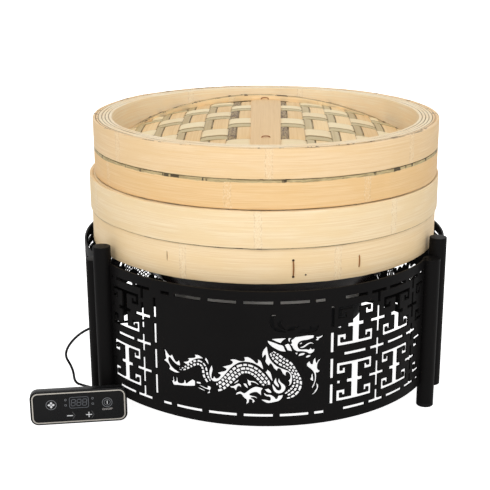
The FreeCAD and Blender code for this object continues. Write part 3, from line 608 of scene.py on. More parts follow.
fret = {"slot": 3.7, "module": 45.0, "stem": 8.6, "arm": 20.0, "armHalf": 2.2, "hookDrop": 13.0, "hookReach": 10.3,
        "hookRise": 6.5, "hookWidth": 3.3, "pitch": 60.0, "rowGap": 8.0, "margin": 12.5, "field": -38.5,
        "fieldHalf": 100.0, "end": 204.5, "endDash": 8.0, "crossArm": 10.5, "tee": 11.0, "dash": 28.0, "sliver": 3.0,
        "leftModule": 45.0, "leftCross": 17.0, "leftSquare": 66.5, "rightModule": 28.5, "rightSquare": 8.5,
        "fieldDash": (31.5, 39.0), "cornerDash": (11.0, 86.0), "sideDash": (23.0, 30.0)}


def moved(points, along, rise):
    return [(along + a, rise + b) for a, b in points]


def swung(points, degrees):
    turn = math.radians(degrees)
    return [(a * math.cos(turn) - b * math.sin(turn), a * math.sin(turn) + b * math.cos(turn)) for a, b in points]


def slotAt(width, height, along=0.0, rise=0.0):
    return [(along + a * width / 2, rise + b * height / 2) for a, b in ((-1, -1), (1, -1), (1, 1), (-1, 1))]


def mirrored(quarter):
    return (quarter + [(-a, b) for a, b in reversed(quarter)] + [(-a, -b) for a, b in quarter]
            + [(a, -b) for a, b in reversed(quarter)])


def hookPoints():
    half = fret["module"] / 2
    bar = half - fret["slot"]
    foot = half - fret["hookDrop"]
    hook = half - fret["hookReach"]
    inner = hook + fret["hookWidth"]
    return [(bar, bar), (bar, foot + fret["slot"]), (inner, foot + fret["slot"]), (inner, foot + fret["hookRise"]),
            (hook, foot + fret["hookRise"]), (hook, foot), (half, foot), (half, half)]


def moduleShape():
    stem = fret["stem"] / 2
    bar = fret["module"] / 2 - fret["slot"]
    return mirrored([(fret["arm"] / 2, fret["armHalf"]), (stem, fret["armHalf"]), (stem, bar)] + hookPoints())


def crossShape(height):
    half = fret["slot"] / 2
    return mirrored([(fret["crossArm"], half), (half, half), (half, height)])


def teeShape(side):
    half, arm = fret["slot"] / 2, fret["crossArm"]
    drop = half + fret["tee"]
    points = [(-arm, half), (arm, half), (arm, -half), (half, -half), (half, -drop), (-half, -drop), (-half, -half),
              (-arm, -half)]
    return [(a, b * side) for a, b in points]


def lattice():
    slot, field, pitch, half = fret["slot"], fret["field"], fret["pitch"], fret["module"] / 2
    border = (ring["panelTop"] - ring["panelBottom"]) / 2 - fret["margin"]
    middle = slot / 2 + fret["rowGap"] + half
    left, right = field - fret["fieldHalf"], field + fret["fieldHalf"]
    near, square = right + fret["rightModule"], left - fret["leftSquare"]
    modules = (left - fret["leftModule"], near, near + pitch)
    crosses = (left - fret["leftCross"], near + pitch / 2, near + pitch * 1.5)
    last = near + pitch * 2
    reach = fret["end"] - last
    hook = [(-a, b) for a, b in reversed(hookPoints())] + [(reach, half - slot), (reach, half)]
    holes = []
    for side in (-1, 1):
        for along in modules:
            holes.append(moved(moduleShape(), along, side * middle))
            holes.append(slotAt(fret["dash"], slot, along, side * border))
        for along in crosses:
            holes.append(moved(crossShape(15), along, side * middle))
            holes.append(moved(teeShape(side), along, side * border))
        wide, step = fret["fieldDash"]
        holes += [slotAt(wide, slot, field + count * step, side * border) for count in (-1.5, -0.5, 0.5, 1.5)]
        for end in (-1, 1):
            wide, away = fret["cornerDash"]
            holes.append(slotAt(wide, slot, field + end * away, side * border))
            tall, step = fret["sideDash"]
            holes += [slotAt(slot, tall, field + end * fret["fieldHalf"], side * count * step) for count in (0.5, 1.5)]
        holes += [slotAt(slot, slot, along, side * middle) for along in (right + fret["rightSquare"], square)]
        holes.append(slotAt(fret["sliver"], slot, square, side * border))
        for mirror in (-1, 1):
            holes.append(moved([(a, b * mirror) for a, b in hook], last, side * middle))
        holes.append(slotAt(fret["endDash"], slot, fret["end"] - fret["endDash"] / 2, side * border))
    holes += [slotAt(fret["dash"], slot, along, 0) for along in modules]
    holes += [moved(crossShape(10), along, 0) for along in crosses]
    holes.append(slotAt(fret["sliver"], slot, square, 0))
    return holes


# Dragon cut into the field, in millimetres from the middle of the field. A third value marks a sharp corner.

dragon = {"rib": 0.8, "cell": 4.8, "seed": 11, "smooth": 4}
tailPart = ((-80, -15.6, 1.0), (-75, -18.7, 1.5), (-70, -20.2, 1.7), (-65, -19.4, 2.1), (-60, -16.2, 2.6),
            (-55, -12.4, 3.1), (-50, -9.4, 3.5), (-45, -8.7, 3.7), (-41, -11.6, 3.8), (-39.2, -17, 4.0),
            (-38.2, -23, 4.1), (-34.6, -29.4, 3.6))
bodyPart = ((-26.6, -35.2, 5.4), (-22, -33.4, 5.6), (-16.6, -28.6, 5.8), (-9.6, -20.6, 5.9), (-2, -12.8, 6.1),
            (4, -10.4, 6.2), (10, -10.7, 6.1), (17, -14.4, 5.8), (23.4, -21, 5.6), (27.4, -26.6, 5.2),
            (28.2, -29.6, 4.4))
neckPart = ((48.2, -42.6, 4.0), (54, -39.9, 5.8), (59.4, -35, 6.2), (61.8, -28, 5.4), (60.6, -20.6, 4.2),
            (57.4, -13.6, 3.6), (52, -6.6, 4.9), (45, -2.2, 5.4), (39.4, 2.6, 5.4), (35.8, 6.4, 4.2),
            (33.6, 9.4, 2.6))
dragonShapes = {
    "tail": [
        [(-90.5, 1, 1), (-86.4, -1.6), (-83.4, -5.4), (-80.6, -7), (-78.8, -4.2, 1), (-76.4, -9), (-73.8, -12.4),
         (-71.8, -12), (-70.4, -8.6, 1), (-69, -12.4), (-68.6, -16.6, 1), (-73, -16.4), (-77.8, -13.8),
         (-81.2, -10.4), (-83, -9.4, 1), (-83.2, -12.8), (-81, -17.2), (-77, -20.9), (-72.4, -23), (-69, -24.4, 1),
         (-74, -26), (-79.5, -25.2), (-83.6, -23.6, 1), (-82.5, -21), (-85, -17.2), (-90, -14.6, 1), (-87.4, -12),
         (-88, -8), (-88.6, -3)],
    ],
    "firstFin": [
        [(-66, -11.2, 1), (-61, -9.9), (-58, -8.2), (-60, -5.7, 1), (-54.4, -4.5), (-50.2, -3.2), (-51.6, -0.2, 1),
         (-46.4, 0.3), (-42, -1.8), (-40.2, -3.6, 1), (-44, -3.8), (-48.6, -4.7), (-53, -7), (-57.4, -10.6),
         (-61.4, -13.3)],
        [(-39.2, -4.4, 1), (-37.2, -1.4, 1), (-35.2, -5), (-34.2, -11, 1), (-36, -8.6)],
    ],
    "backFin": [
        [(-31, -9.2, 1), (-30, -14), (-31.3, -20), (-31.2, -24), (-29.6, -24.6), (-28.6, -21.2, 1), (-26.6, -24),
         (-23.6, -23.4), (-21.4, -20.8), (-22, -19.4), (-25.6, -18, 1), (-20.4, -15.8), (-16, -14.3), (-15, -12.4),
         (-20, -10, 1), (-13.4, -7.8), (-9.4, -6.2), (-7.8, -3.8), (-11.6, -1, 1), (-6, 0), (0, -1.5), (5, -1.2),
         (4.4, 3, 1), (9, 3.2), (14, 0.2), (17.6, -3.4), (19.4, -2.4), (19, 1.2, 1), (22, -1), (23.9, -6),
         (25, -11.2, 1), (19.8, -7), (13.6, -3.9), (7, -2.8), (0, -3.6), (-5.4, -6.6), (-10.6, -11.4), (-15, -17),
         (-19, -22), (-22.4, -25.8), (-26.4, -28.2), (-30.6, -28), (-33.4, -24), (-34.2, -18), (-32.8, -13)],
        [(26.6, -13.2, 1), (28.4, -12.8), (29.2, -10.6, 1), (32.4, -14), (33.8, -19), (34.8, -25, 1), (31.8, -20.8),
         (28.8, -16.4)],
    ],
    "neckFin": [
        [(28.4, 15.8, 1), (25.4, 12), (24, 8), (24, 2.4, 1), (26, 5.4), (27.6, 5.6), (27.8, 2), (27.2, -2),
         (30.6, -6.8, 1), (32, -4.2), (34, -5), (36.4, -9.4), (39.4, -12.6, 1), (40.4, -10), (43.4, -10.8),
         (45.8, -15.6), (48.8, -18.8, 1), (49, -15.2), (51, -14.4), (53, -16.2), (54, -19.2), (53.2, -22.4),
         (50.8, -24.6, 1), (52.8, -25.4), (52.8, -28.4), (50.4, -31.6, 1), (54.4, -29.2), (55.8, -24), (55.2, -18),
         (52.2, -13.4), (46, -10.2), (40, -7.2), (34.8, -2.6), (31.2, 3), (29.6, 9), (29, 13)],
    ],
    "leftLeg": [
        [(-81, -36, 1), (-79.4, -38.6), (-78, -41), (-72, -40.2), (-64, -39.4), (-56, -38), (-51.4, -36.6),
         (-50.6, -33), (-51, -30.6), (-53.4, -29.4, 1), (-57, -32.2), (-60, -34.8), (-61.5, -35.2), (-62.4, -32, 1),
         (-65, -33, 1), (-64.8, -35.8), (-69, -36.8), (-71.8, -35.8), (-72.6, -30.6, 1), (-74.2, -31.4),
         (-74.4, -35.4), (-75.8, -36.6), (-76.4, -35), (-77, -30.8, 1), (-78.6, -31.8), (-78.6, -35.6),
         (-79.6, -36.8)],
        [(-49.4, -31.2, 1), (-44.8, -31), (-43.4, -32.4, 1), (-45.8, -33.8), (-49.4, -33.6, 1)],
        [(-37.6, -34.4, 1), (-33.6, -34.2), (-32.4, -36.4), (-33.8, -39.4), (-33.4, -41.4), (-34.4, -43),
         (-39.8, -43.8, 1), (-35.4, -41.8), (-35, -39.4), (-40, -38.2), (-45.6, -36), (-49.6, -35.6, 1), (-44, -34.8),
         (-38.4, -36.4), (-36, -36.4)],
        [(-49.8, -36.9, 1), (-44, -38), (-39, -40), (-36.2, -41.2, 1), (-41, -41), (-46, -39.4)],
    ],
    "midLeg": [
        [(24.4, -32.6), (20, -31), (16, -30.8), (11, -33.6), (5, -38.6), (0.6, -37), (-3.4, -38.6), (-4.6, -42, 1),
         (-1.6, -40.4), (1.4, -40.8), (4, -44.2), (7.2, -47.2), (6.6, -51.8, 1), (9, -50), (9.8, -46.2), (13, -47),
         (13.4, -50.4, 1), (15.7, -48.4), (14.6, -45.6), (11.6, -43.8), (15.4, -43.6), (18.6, -45.4, 1), (17, -42.4),
         (12.2, -41.2), (10, -40.2), (13, -38.2), (17.4, -37.4), (20.4, -39.2), (22.8, -41.4, 1), (22.4, -38.6),
         (22.6, -35.4)],
    ],
    "farLeg": [
        [(7.2, -21.4, 1), (10.2, -23.8), (15, -24.3), (19.2, -27), (20.2, -29.4, 1), (16.4, -27), (11.6, -26),
         (12, -28.8), (9.8, -30.4, 1), (8.6, -28), (8.2, -25)],
        [(3, -27.4, 1), (6.2, -27.4), (7.8, -30), (8.4, -33.6, 1), (5.4, -31.2)],
        [(-11.4, -30.6, 1), (-7.4, -31.2), (-3.4, -28.6), (-1, -27.8), (0.8, -29.4), (1, -32.8, 1), (-1.2, -31),
         (-3.4, -32.4), (-4.6, -37, 1), (-6.6, -34.2), (-10, -33.6)],
        [(-1.4, -23.2, 1), (-3, -26.6), (-7.4, -29.2, 1), (-4.4, -25.6)],
    ],
    "rightLeg": [
        [(80.8, 1.2, 1), (81.4, -3), (82.3, -6), (84.4, -2.6), (88.6, -1.6, 1), (85.4, -4.4), (83.6, -8.6),
         (83.4, -12.8), (84.8, -14.8), (87.2, -16, 1), (84, -18), (82.2, -17.6), (82.4, -22), (82, -27), (80.4, -32),
         (78.6, -35.2, 1), (77.4, -34), (79.4, -29.6), (80.6, -25), (80.4, -19.6), (79.2, -16), (76.4, -12.6),
         (73, -9.6), (71.6, -6), (74.4, -3, 1), (75.8, -6.4), (78, -6.6), (78.6, -3)],
        [(77.8, -17, 1), (78.6, -21), (79.3, -27.4, 1), (77.4, -26), (75.2, -24.2, 1), (76.7, -22), (76.8, -19.4)],
        [(82.4, -29.6, 1), (84.8, -32.8), (84.4, -37), (82, -40.6), (79, -42.8), (76.6, -42.8, 1), (79.8, -40.2),
         (81.4, -37.4), (83, -34.6)],
    ],
    "hip": [
        [(41.3, -20.8, 1), (43.2, -25), (47.4, -29), (48.7, -33.4), (46.2, -37.6), (41.4, -39.2), (37, -36.6),
         (35, -31.6), (34.6, -27.4, 1), (37.2, -31), (39.6, -34.4), (42.6, -34.8), (44.2, -32), (43.2, -28.6),
         (41, -25.2)],
        [(38.4, -20, 1), (39, -24.4), (41.2, -28.6), (41.4, -32, 1), (38.2, -29.2), (36.2, -25.2)],
        [(46, -40.4, 1), (45, -44.4), (41.6, -47.8), (35.6, -49.4), (30, -50.2), (25.6, -48.2), (21.8, -45.4, 1),
         (27.4, -45.8), (31.8, -46.8), (33, -44.6), (31.6, -42.8), (28.6, -42.2), (26.4, -40.6), (25.8, -37.4, 1),
         (28.6, -39.6), (32.6, -40), (36.4, -42.4), (38.2, -44.8), (40.2, -44), (41, -41.4), (43.4, -40.8)],
        [(26, -33.8, 1), (30.4, -32.6, 1), (33, -35.4), (33.4, -38.4, 1), (29.6, -37.4)],
    ],
    "head": [
        [(57, 24, 1), (60.4, 26.2), (70, 26.6), (79.2, 26.2, 1), (78.8, 22.8, 1), (73, 21.2), (67, 20.7),
         (63.4, 19.4), (61.4, 16.4), (62, 13), (65, 11.2), (70, 11), (73.6, 10.2), (75.4, 12.4, 1), (76.8, 10.2),
         (80.2, 10.8, 1), (79.6, 7.6), (77.4, 5.6), (74.6, 5.2), (71.4, 7.2), (66, 8.5), (61, 8.9), (57.4, 11.6),
         (55.6, 15.2), (53, 17.4, 1), (55.2, 19), (54.4, 22, 1)],
        [(63, 17.4, 1), (65.2, 19.2, 1), (66.4, 17.6), (64.4, 16.6)],
        [(63.2, 13.4, 1), (67.4, 14.8), (71, 17.2), (75.6, 18.4), (80.4, 15.8, 1), (75.6, 16.6), (72.4, 15.2),
         (69, 12.8), (65.6, 12.2)],
        [(80, 20.2, 1), (82.4, 22.2), (81, 24, 1), (85, 24), (91, 26.2, 1), (87.6, 22.4), (85, 21.4),
         (84.2, 19.2, 1)],
        [(62, 3, 1), (63.4, 6.2), (67, 7), (69.8, 6.6, 1), (68.4, 4.2), (65, 3.4)],
        [(70, 0.6, 1), (71.6, 3.6), (76.4, 4, 1), (74.4, 1.2)],
        [(58.6, 7.8, 1), (62, 7.6, 1), (60.6, 4.8, 1)],
    ],
    "mane": [
        [(29.2, 22.6, 1), (35, 20.6), (41, 18), (45.4, 16.4), (47.2, 12.6), (48.8, 9, 1), (43.6, 9.8), (39, 12),
         (34.4, 15), (30.6, 18.8)],
        [(32.6, 24.2, 1), (41, 24.8), (50, 24.9, 1), (45.6, 21.8), (43.2, 19, 1), (38.4, 21)],
        [(51.4, 24.8, 1), (56, 24.9, 1), (53.2, 22.8), (52.8, 19.8, 1), (51.4, 22)],
        [(47.4, 17.2, 1), (51.4, 18.4), (53.6, 14.4), (55.4, 9.4, 1), (51, 10.6), (49.4, 13.6)],
    ],
    "horns": [
        [(38.2, 51, 1), (34, 51.4), (31.4, 47), (31.6, 40), (35, 35), (41, 32.4), (49, 31.6, 1), (43.6, 34.6),
         (39, 36.6), (36.2, 41), (35.8, 46)],
        [(45.4, 45, 1), (41.2, 44), (39.6, 40.4), (42, 36.8), (48.6, 34.2, 1), (45, 38), (43.4, 41)],
        [(51, 36, 1), (56, 37.6), (63, 38.4, 1), (60, 35.4), (56, 33.4), (50, 33, 1)],
        [(62, 30.6, 1), (66, 34.4), (72, 33.4), (74.4, 38.6, 1), (77.6, 34.6), (84.4, 37.6, 1), (82, 31.6),
         (75, 29.6), (68, 29)],
    ],
}


def drawn(points):
    steps = dragon["smooth"]
    outline = []
    count = len(points)
    for index in range(count):
        start, end = points[index], points[(index + 1) % count]
        before, after = points[index - 1], points[(index + 2) % count]
        here, there = Vector(start[:2]), Vector(end[:2])
        leave = (there - here if len(start) > 2 else (there - Vector(before[:2])) / 2) / 3
        arrive = (there - here if len(end) > 2 else (Vector(after[:2]) - here) / 2) / 3
        for step in range(steps):
            t = step / steps
            point = (here * (1 - t) ** 3 + (here + leave) * 3 * t * (1 - t) ** 2
                     + (there - arrive) * 3 * t * t * (1 - t) + there * t ** 3)
            outline.append((point.x, point.y))
    return outline


def smoothLine(stations, pieces=24):
    last = len(stations) - 1
    line = []
    for index in range(last):
        nearby = [Vector(stations[min(max(index + step, 0), last)]) for step in (-1, 0, 1, 2)]
        for step in range(pieces):
            u = step / pieces
            line.append(0.5 * (2 * nearby[1] + (nearby[2] - nearby[0]) * u
                               + (2 * nearby[0] - 5 * nearby[1] + 4 * nearby[2] - nearby[3]) * u * u
                               + (3 * nearby[1] - nearby[0] - 3 * nearby[2] + nearby[3]) * u ** 3))
    return line + [Vector(stations[-1])]


def scaleCells(stations, chance):
    line = smoothLine(stations)
    runs = [0.0]
    for before, after in zip(line, line[1:]):
        runs.append(runs[-1] + (after - before).to_2d().length)

    def spot(run, across):  # across runs from -1 on the belly to 1 on the back
        run = min(max(run, 0.0), runs[-1] - 1e-6)
        index = max(k for k in range(len(runs) - 1) if runs[k] <= run)
        share = (run - runs[index]) / (runs[index + 1] - runs[index])
        here = line[index].lerp(line[index + 1], share)
        ahead = (line[index + 1] - line[index]).to_2d().normalized()
        return (here.x - ahead.y * across * here.z, here.y + ahead.x * across * here.z)

    cells = []
    half = dragon["rib"] / 2
    wide = sum(station[2] for station in stations) / len(stations)
    edges = (-1.0, -0.32, 0.36, 1.0) if wide > 4.4 else (-1.0, 0.05, 1.0)
    for row, (low, high) in enumerate(zip(edges, edges[1:])):
        count = max(3, round(runs[-1] / dragon["cell"]))
        pitch = runs[-1] / count
        cuts = [(step + (0.5 if row % 2 else 0.0) + chance.uniform(-0.14, 0.14)) * pitch for step in range(count + 1)]
        cuts[0] = max(cuts[0], 0.4)
        cuts = [cut for cut in cuts if cut < runs[-1] - 1.4] + [runs[-1] - 0.2]
        inset = half / wide
        for start, end in zip(cuts, cuts[1:]):
            a, b = start + half, end - half
            if b - a < 1.0:
                continue
            lean = 0.6 * (0.9 if low < -0.9 or high > 0.9 else 0.5)
            bottom = low + (0.08 if low < -0.9 else inset)
            top = high - (0.08 if high > 0.9 else inset)
            middle = (low + high) / 2
            cells.append([spot(a, bottom), spot((a + b) / 2, bottom), spot(b, bottom), spot(b + lean, middle),
                          spot(b, top), spot((a + b) / 2, top), spot(a, top), spot(a + lean, middle)])
    return cells


def dragonHoles():
    chance = random.Random(dragon["seed"])
    holes = []
    for part in (tailPart, bodyPart, neckPart):
        holes += scaleCells(part, chance)
    for shapes in dragonShapes.values():
        holes += [drawn(shape) for shape in shapes]
    return [moved(hole, fret["field"], 0.0) for hole in holes]


def buildPanels():
    low, high, cuts = ring["panelBottom"], ring["panelTop"], ring["cuts"]
    middle = (low + high) / 2
    bendRadius = ring["panelOuter"] - ring["thickness"] / 2
    half = math.radians(ring["arcHalf"]) * bendRadius
    flat = cutPlate(slotAt(2 * half, high - low), lattice() + dragonHoles(), ring["thickness"])
    for index in range(1, cuts):
        x = (2 * index / cuts - 1) * half * mm
        bmesh.ops.bisect_plane(flat, geom=flat.verts[:] + flat.edges[:] + flat.faces[:], plane_co=(x, 0, 0),
                               plane_no=(1, 0, 0), dist=1e-7)
    for vert in flat.verts:
        turn = vert.co.x / (bendRadius * mm)
        reach = bendRadius * mm + vert.co.z
        vert.co = Vector((reach * math.sin(turn), -ring["panelCentre"] * mm - reach * math.cos(turn),
                          middle * mm + vert.co.y))
    base = bpy.data.meshes.new("panelBase")
    flat.to_mesh(base)
    flat.free()
    for index, (name, node) in enumerate((("panelFront", "panel_front"), ("panelRearRight", "panel_rear_right"),
                                          ("panelRearLeft", "panel_rear_left"))):
        bm = bmesh.new()
        bm.from_mesh(base)
        bmesh.ops.rotate(bm, cent=(0, 0, 0), matrix=Matrix.Rotation(math.radians(120 * index), 3, "Z"),
                         verts=bm.verts)
        slipped(bm)
        finished(bm, name, "frame", powderBlack, slot="powder_black", node=node, smooth=30)
    for name, node, finish, slot in (("armLeft", "support_arm_left", powderBlack, "powder_black"),
                                     ("armScrews", "arm_screws", screwSteel, "screw_steel")):
        bm = bmesh.new()
        bm.from_mesh(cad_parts[node].data)
        slipped(bm)
        finished(bm, name, "frame", finish, slot=slot, node=node, smooth=30)


buildPosts()
buildPanels()
print("ring made")


# Heater, its inlet and the parts inside

heater = {"bottom": 88.0, "body": 121.0, "wall": 2.0, "rim": 127.0, "rimBottom": 118.0, "top": 141.0, "glass": 4.0}


def circlePoints(radius, sides):
    return [(radius * math.cos(2 * math.pi * k / sides), radius * math.sin(2 * math.pi * k / sides))
            for k in range(sides)]


def buildHeater():
    bottom, body, wall = heater["bottom"], heater["body"], heater["wall"]
    bm = bmesh.new()
    spun(bm, rounded([(body - wall, bottom), (body, bottom), (body, heater["rimBottom"]),
                      (body - wall, heater["rimBottom"])], [0, 0, 0.2, 0.2]), 128)
    vent = [(2 * math.cos(math.pi * (half + step / 12)), middle + 2 * math.sin(math.pi * (half + step / 12)))
            for half, middle in ((0, 33), (1, 15)) for step in range(13)]
    vents = [swung(vent, 45 * index) for index in range(8)]
    plate = cutPlate(circlePoints(body - wall, 128), vents, wall)
    joined(bm, plate, Matrix.Translation((0, 0, (bottom + wall / 2) * mm)))
    finished(bm, "heaterBase", "frame", heaterBlack, node="heater_base", slot="heater_black")
    low, high, rim = heater["rimBottom"], heater["top"], heater["rim"]
    outline = rounded([(body - wall, low), (rim, low), (rim, high), (body - wall, high)], [0.2, 1.5, 2.5, 0.3], 6)
    turnedPiece("heaterRim", "frame", rimSteelSheen, "heater_rim", "rim_steel", outline, 160)
    low = high - heater["glass"]
    outline = rounded([(0, low), (body - wall, low), (body - wall, high), (0, high)], [0, 0.3, 0.6, 0])
    turnedPiece("heaterGlass", "frame", glassBlack, "heater_glass", "ceramic_glass", outline, 160, closed=False)
    turnedPiece("coilCarrier", "frame", carrierGrey, "coil_carrier", "carrier_plastic",
                [(0, 128), (119, 128), (119, 129.5), (0, 129.5)], 96, closed=False)
    top = [(30 + 2.9 * k + step * 0.725, 135.5 - 0.5 * abs(math.cos(math.pi * step / 4)) ** 4)
           for k in range(20) for step in range(4)]
    turnedPiece("heatingCoil", "frame", copperWound, "heating_coil", "coil_copper",
                [(88, 129.5), (30, 129.5), *top, (88, 135.0)], 72)
    for node, finish in (("fan_motor", carrierGrey), ("fan_rotor", carrierGrey), ("heater_board", boardGreen),
                         ("power_inlet", glossBlack), ("support_arm_right", powderBlack),
                         ("support_arm_rear", powderBlack), ("handset_board", boardGreen)):
        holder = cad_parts[node].data.materials
        holder.clear()
        holder.append(finish)


pan = {"floor": 141.4, "top": 183.0, "thickness": 1.4}


def buildPan():
    low, top, wall = pan["floor"], pan["top"], pan["thickness"]
    lower = [(0, low), (118, low), (146, low + 4.5), (185, top - wall - 4.5), (188, top - wall), (196, top - wall)]
    upper = [(196, top), (188 - wall * 0.6, top), (185 - wall, top - 4.5 + wall), (146 - wall, low + 4.5 + wall),
             (118, low + wall), (0, low + wall)]
    outline = rounded(lower + upper, [0, 20, 26, 6, 4, 0.6, 0.6, 4, 6, 26, 20, 0], 8)
    turnedPiece("waterPan", "pan", panEnamelAndReflection, "water_pan", "pan_enamel", outline, 180, closed=False, smooth=50)


buildHeater()
buildPan()
print("heater and pan made")


# Basket and lid: bands of laminated bamboo

basket = {"bottom": 183.4, "seam": 223.4, "top": 264.4, "hoopTop": 272.4, "inner": 190.0, "hoop": 197.0,
          "lower": 203.5, "upper": 205.5, "proud": (4.9, 2.0)}
lid = {"bottom": 264.8, "seam": 296.8, "top": 329.4, "hoopBottom": 272.8, "inner": 181.6, "hoop": 197.5,
       "outer": 203.0, "domeInner": 177.6, "hoopRest": (308.0, 313.2),
       "proud": (0.9, 2.6), "keeper": (172.8, 181.3, 313.6, 321.0)}


def drift(turn, seed, pace=1.0):  # a slow even wander round a ring, -1 to 1
    return noise.noise(Vector((math.cos(turn) * pace * 2.1, math.sin(turn) * pace * 2.1, seed)))


def bandMesh(bm, inner, outer, bottom, top, seed, layers=2, topWave=0.5, lowWave=0.35, lap=None, edge=0.9,
             proud=(0.0, 0.0)):
    gap = 0.15
    wide = (outer - inner - gap * (layers - 1)) / layers
    for layer in range(layers):
        low = inner + layer * (wide + gap)
        outline = rounded([(low, bottom), (low + wide, bottom), (low + wide, top), (low, top)],
                          [edge * 0.7, edge * 0.7, edge, edge], 3)
        verts = spun(bm, outline, 300)
        shift = random.Random(seed * 10 + layer).random() * 9
        for vert in verts:
            turn = math.atan2(vert.co.x, -vert.co.y)
            share = (vert.co.z / mm - bottom) / (top - bottom)
            reach = math.hypot(vert.co.x, vert.co.y) / mm
            outward = (reach - low) / wide
            lift = topWave * (drift(turn, shift, 1.2) + 0.35 * drift(turn, shift + 5, 9)) * max(0, share * 2 - 1)
            lift += lowWave * (drift(turn, shift + 3, 1.5) + 0.3 * drift(turn, shift + 8, 8)) * max(0, 1 - share * 2)
            sideways = math.sin(turn)
            extra = (proud[0] if sideways < 0 else proud[1]) * sideways ** 2 * (reach - inner) / (outer - inner)
            if layer == layers - 1:
                extra += 0.3 * drift(turn, shift + 2, 1.0) * outward
                if lap is not None:
                    past = (math.degrees(turn) - lap) % 360
                    extra += 0.8 * max(0.0, 1 - past / 35) * outward
                    if share > 0.5:
                        lift += 0.7 * max(0.0, 1 - past / 12)
            scale = (reach + extra) / reach
            vert.co = Vector((vert.co.x * scale, vert.co.y * scale, vert.co.z + lift * mm))


def hoopPiece(name, body, finish, node, *sizes, **more):
    bm = bmesh.new()
    bandMesh(bm, *sizes, **more)
    finished(bm, name, body, finish, slot="bamboo", node=node)


def buildBasket():
    low, seam, top, hoop, proud = (basket[key] for key in ("bottom", "seam", "top", "hoop", "proud"))
    inner = bambooBand("inner", 0.19, 0.0, 0.6, (0.1855, 0.1894, 0.1934, 0.1974))
    lower = bambooBand("basketLower", 0.2035, low * mm, seam * mm, (), (0.0003, 0.0006), (0.2, 0.8))
    upper = bambooBand("basketUpper", 0.2055, seam * mm, top * mm, (), (0.0005, 0.0003), (0.85, 0.3))
    hoopPiece("basketInnerHoop", "basket", inner, "basket_inner_hoop", basket["inner"], hoop, low, basket["hoopTop"],
              1, 2, 0.2, 0.2)
    hoopPiece("basketLowerBand", "basket", lower, "basket_lower_band", hoop + 0.1, basket["lower"], low, seam,
              2, 2, 0.2, 0.6, -96.0, proud=proud)
    hoopPiece("basketUpperBand", "basket", upper, "basket_upper_band", hoop + 0.1, basket["upper"], seam, top - 0.9,
              3, 3, 0.4, 0.9, -7.7, proud=proud)
    slats = splitBamboo("bambooSlats", shade(222, 190, 140), "y", 0.03)
    bm = bmesh.new()
    for index in range(12):
        x = (index - 5.5) * 30
        reach = math.sqrt(189.6 ** 2 - (abs(x) + 12) ** 2)
        boxed(bm, (x - 12, x + 12), (-reach, reach), (199.4, 202.4), 0.6)
    finished(bm, "basketSlats", "basket", slats, node="basket_slats", slot="bamboo_slat")
    battens = splitBamboo("bambooBattens", shade(206, 170, 118), "x", 0.14)
    bm = bmesh.new()
    for side in (-1, 1):
        reach = math.sqrt(189.6 ** 2 - 76 ** 2)
        boxed(bm, (-reach, reach), (side * 70 - 6, side * 70 + 6), (191.4, 199.4), 1.0)
    finished(bm, "basketBattens", "basket", battens, node="basket_battens", slot="bamboo_slat")
    cane = splitBamboo("caneStitch", shade(150, 104, 58), "x", 0.01)
    # painted shade: dark brown for the shaded insides of the stitch holes
    hole = speckled("stitchHoleShade", shade(58, 38, 22), 0.8)
    bm = bmesh.new()
    for degrees, low, high in ((-64.3, 198.5, 214.4), (-34.0, 196.8, 216.1), (5.3, 191.8, 209.1), (26.6, 193.7, 208.5)):
        face = basket["lower"] + 0.15
        points = [around(face - 1.2, 0, low, degrees), around(face + 0.5, 0, low + 0.8, degrees),
                  around(face + 0.9, 0.3, (low + high) / 2, degrees), around(face + 0.5, 0, high - 0.8, degrees),
                  around(face - 1.2, 0, high, degrees)]
        joined(bm, curveMesh(bentWire("stitch", points, 0.8)))
        for height in (low - 0.4, high + 0.4):
            holeDisc(bm, face + 0.12, height, degrees, 1.4)
    for degrees, height in ((-37.0, 194.9), (9.1, 192.8)):
        holeDisc(bm, basket["lower"] + 0.27, height, degrees, 1.0)
    finished(bm, "basketStitches", "basket", cane, hole, node="basket_stitches", slot="bamboo_dark")


# a small dark disc laid on the band, painted shade standing in for a stitch hole
def holeDisc(bm, reach, height, degrees, size):
    dot = bmesh.new()
    bmesh.ops.create_cone(dot, cap_ends=True, segments=14, radius1=size * mm, radius2=size * 0.8 * mm, depth=0.3 * mm)
    turn = around(1, 0, 0, degrees).to_track_quat("Z", "Y").to_matrix().to_4x4()
    joined(bm, dot, Matrix.Translation(around(reach, 0, height, degrees) * mm) @ turn, material=1)


weave = {"warpPitch": 29.3, "warpShift": 6.5, "warpWide": 18.5, "warpThin": 9.0, "weftPitch": 52.5,
         "weftShift": -15.7, "weftWide": 29.5, "weftThin": 14.5, "depth": 1.15, "thickness": 0.9, "reach": 177.0,
         "edge": 172.0, "middle": 322.4, "turn": -3.2, "arch": 21.5, "dome": 10.0,
         "darkStrips": ((-37.4, 5.5), (21.2, 5.5))}


def archDrop(x):  # the woven top is arched from side to side
    return weave["arch"] * (x / 161) ** 2


def domeHeight(x, y):
    return weave["middle"] - archDrop(x) - weave["dome"] * (y / 180) ** 2


def overUnder(place):  # plain weave with flat crossings
    return math.tanh(2.4 * math.cos(math.pi * place)) * weave["depth"]


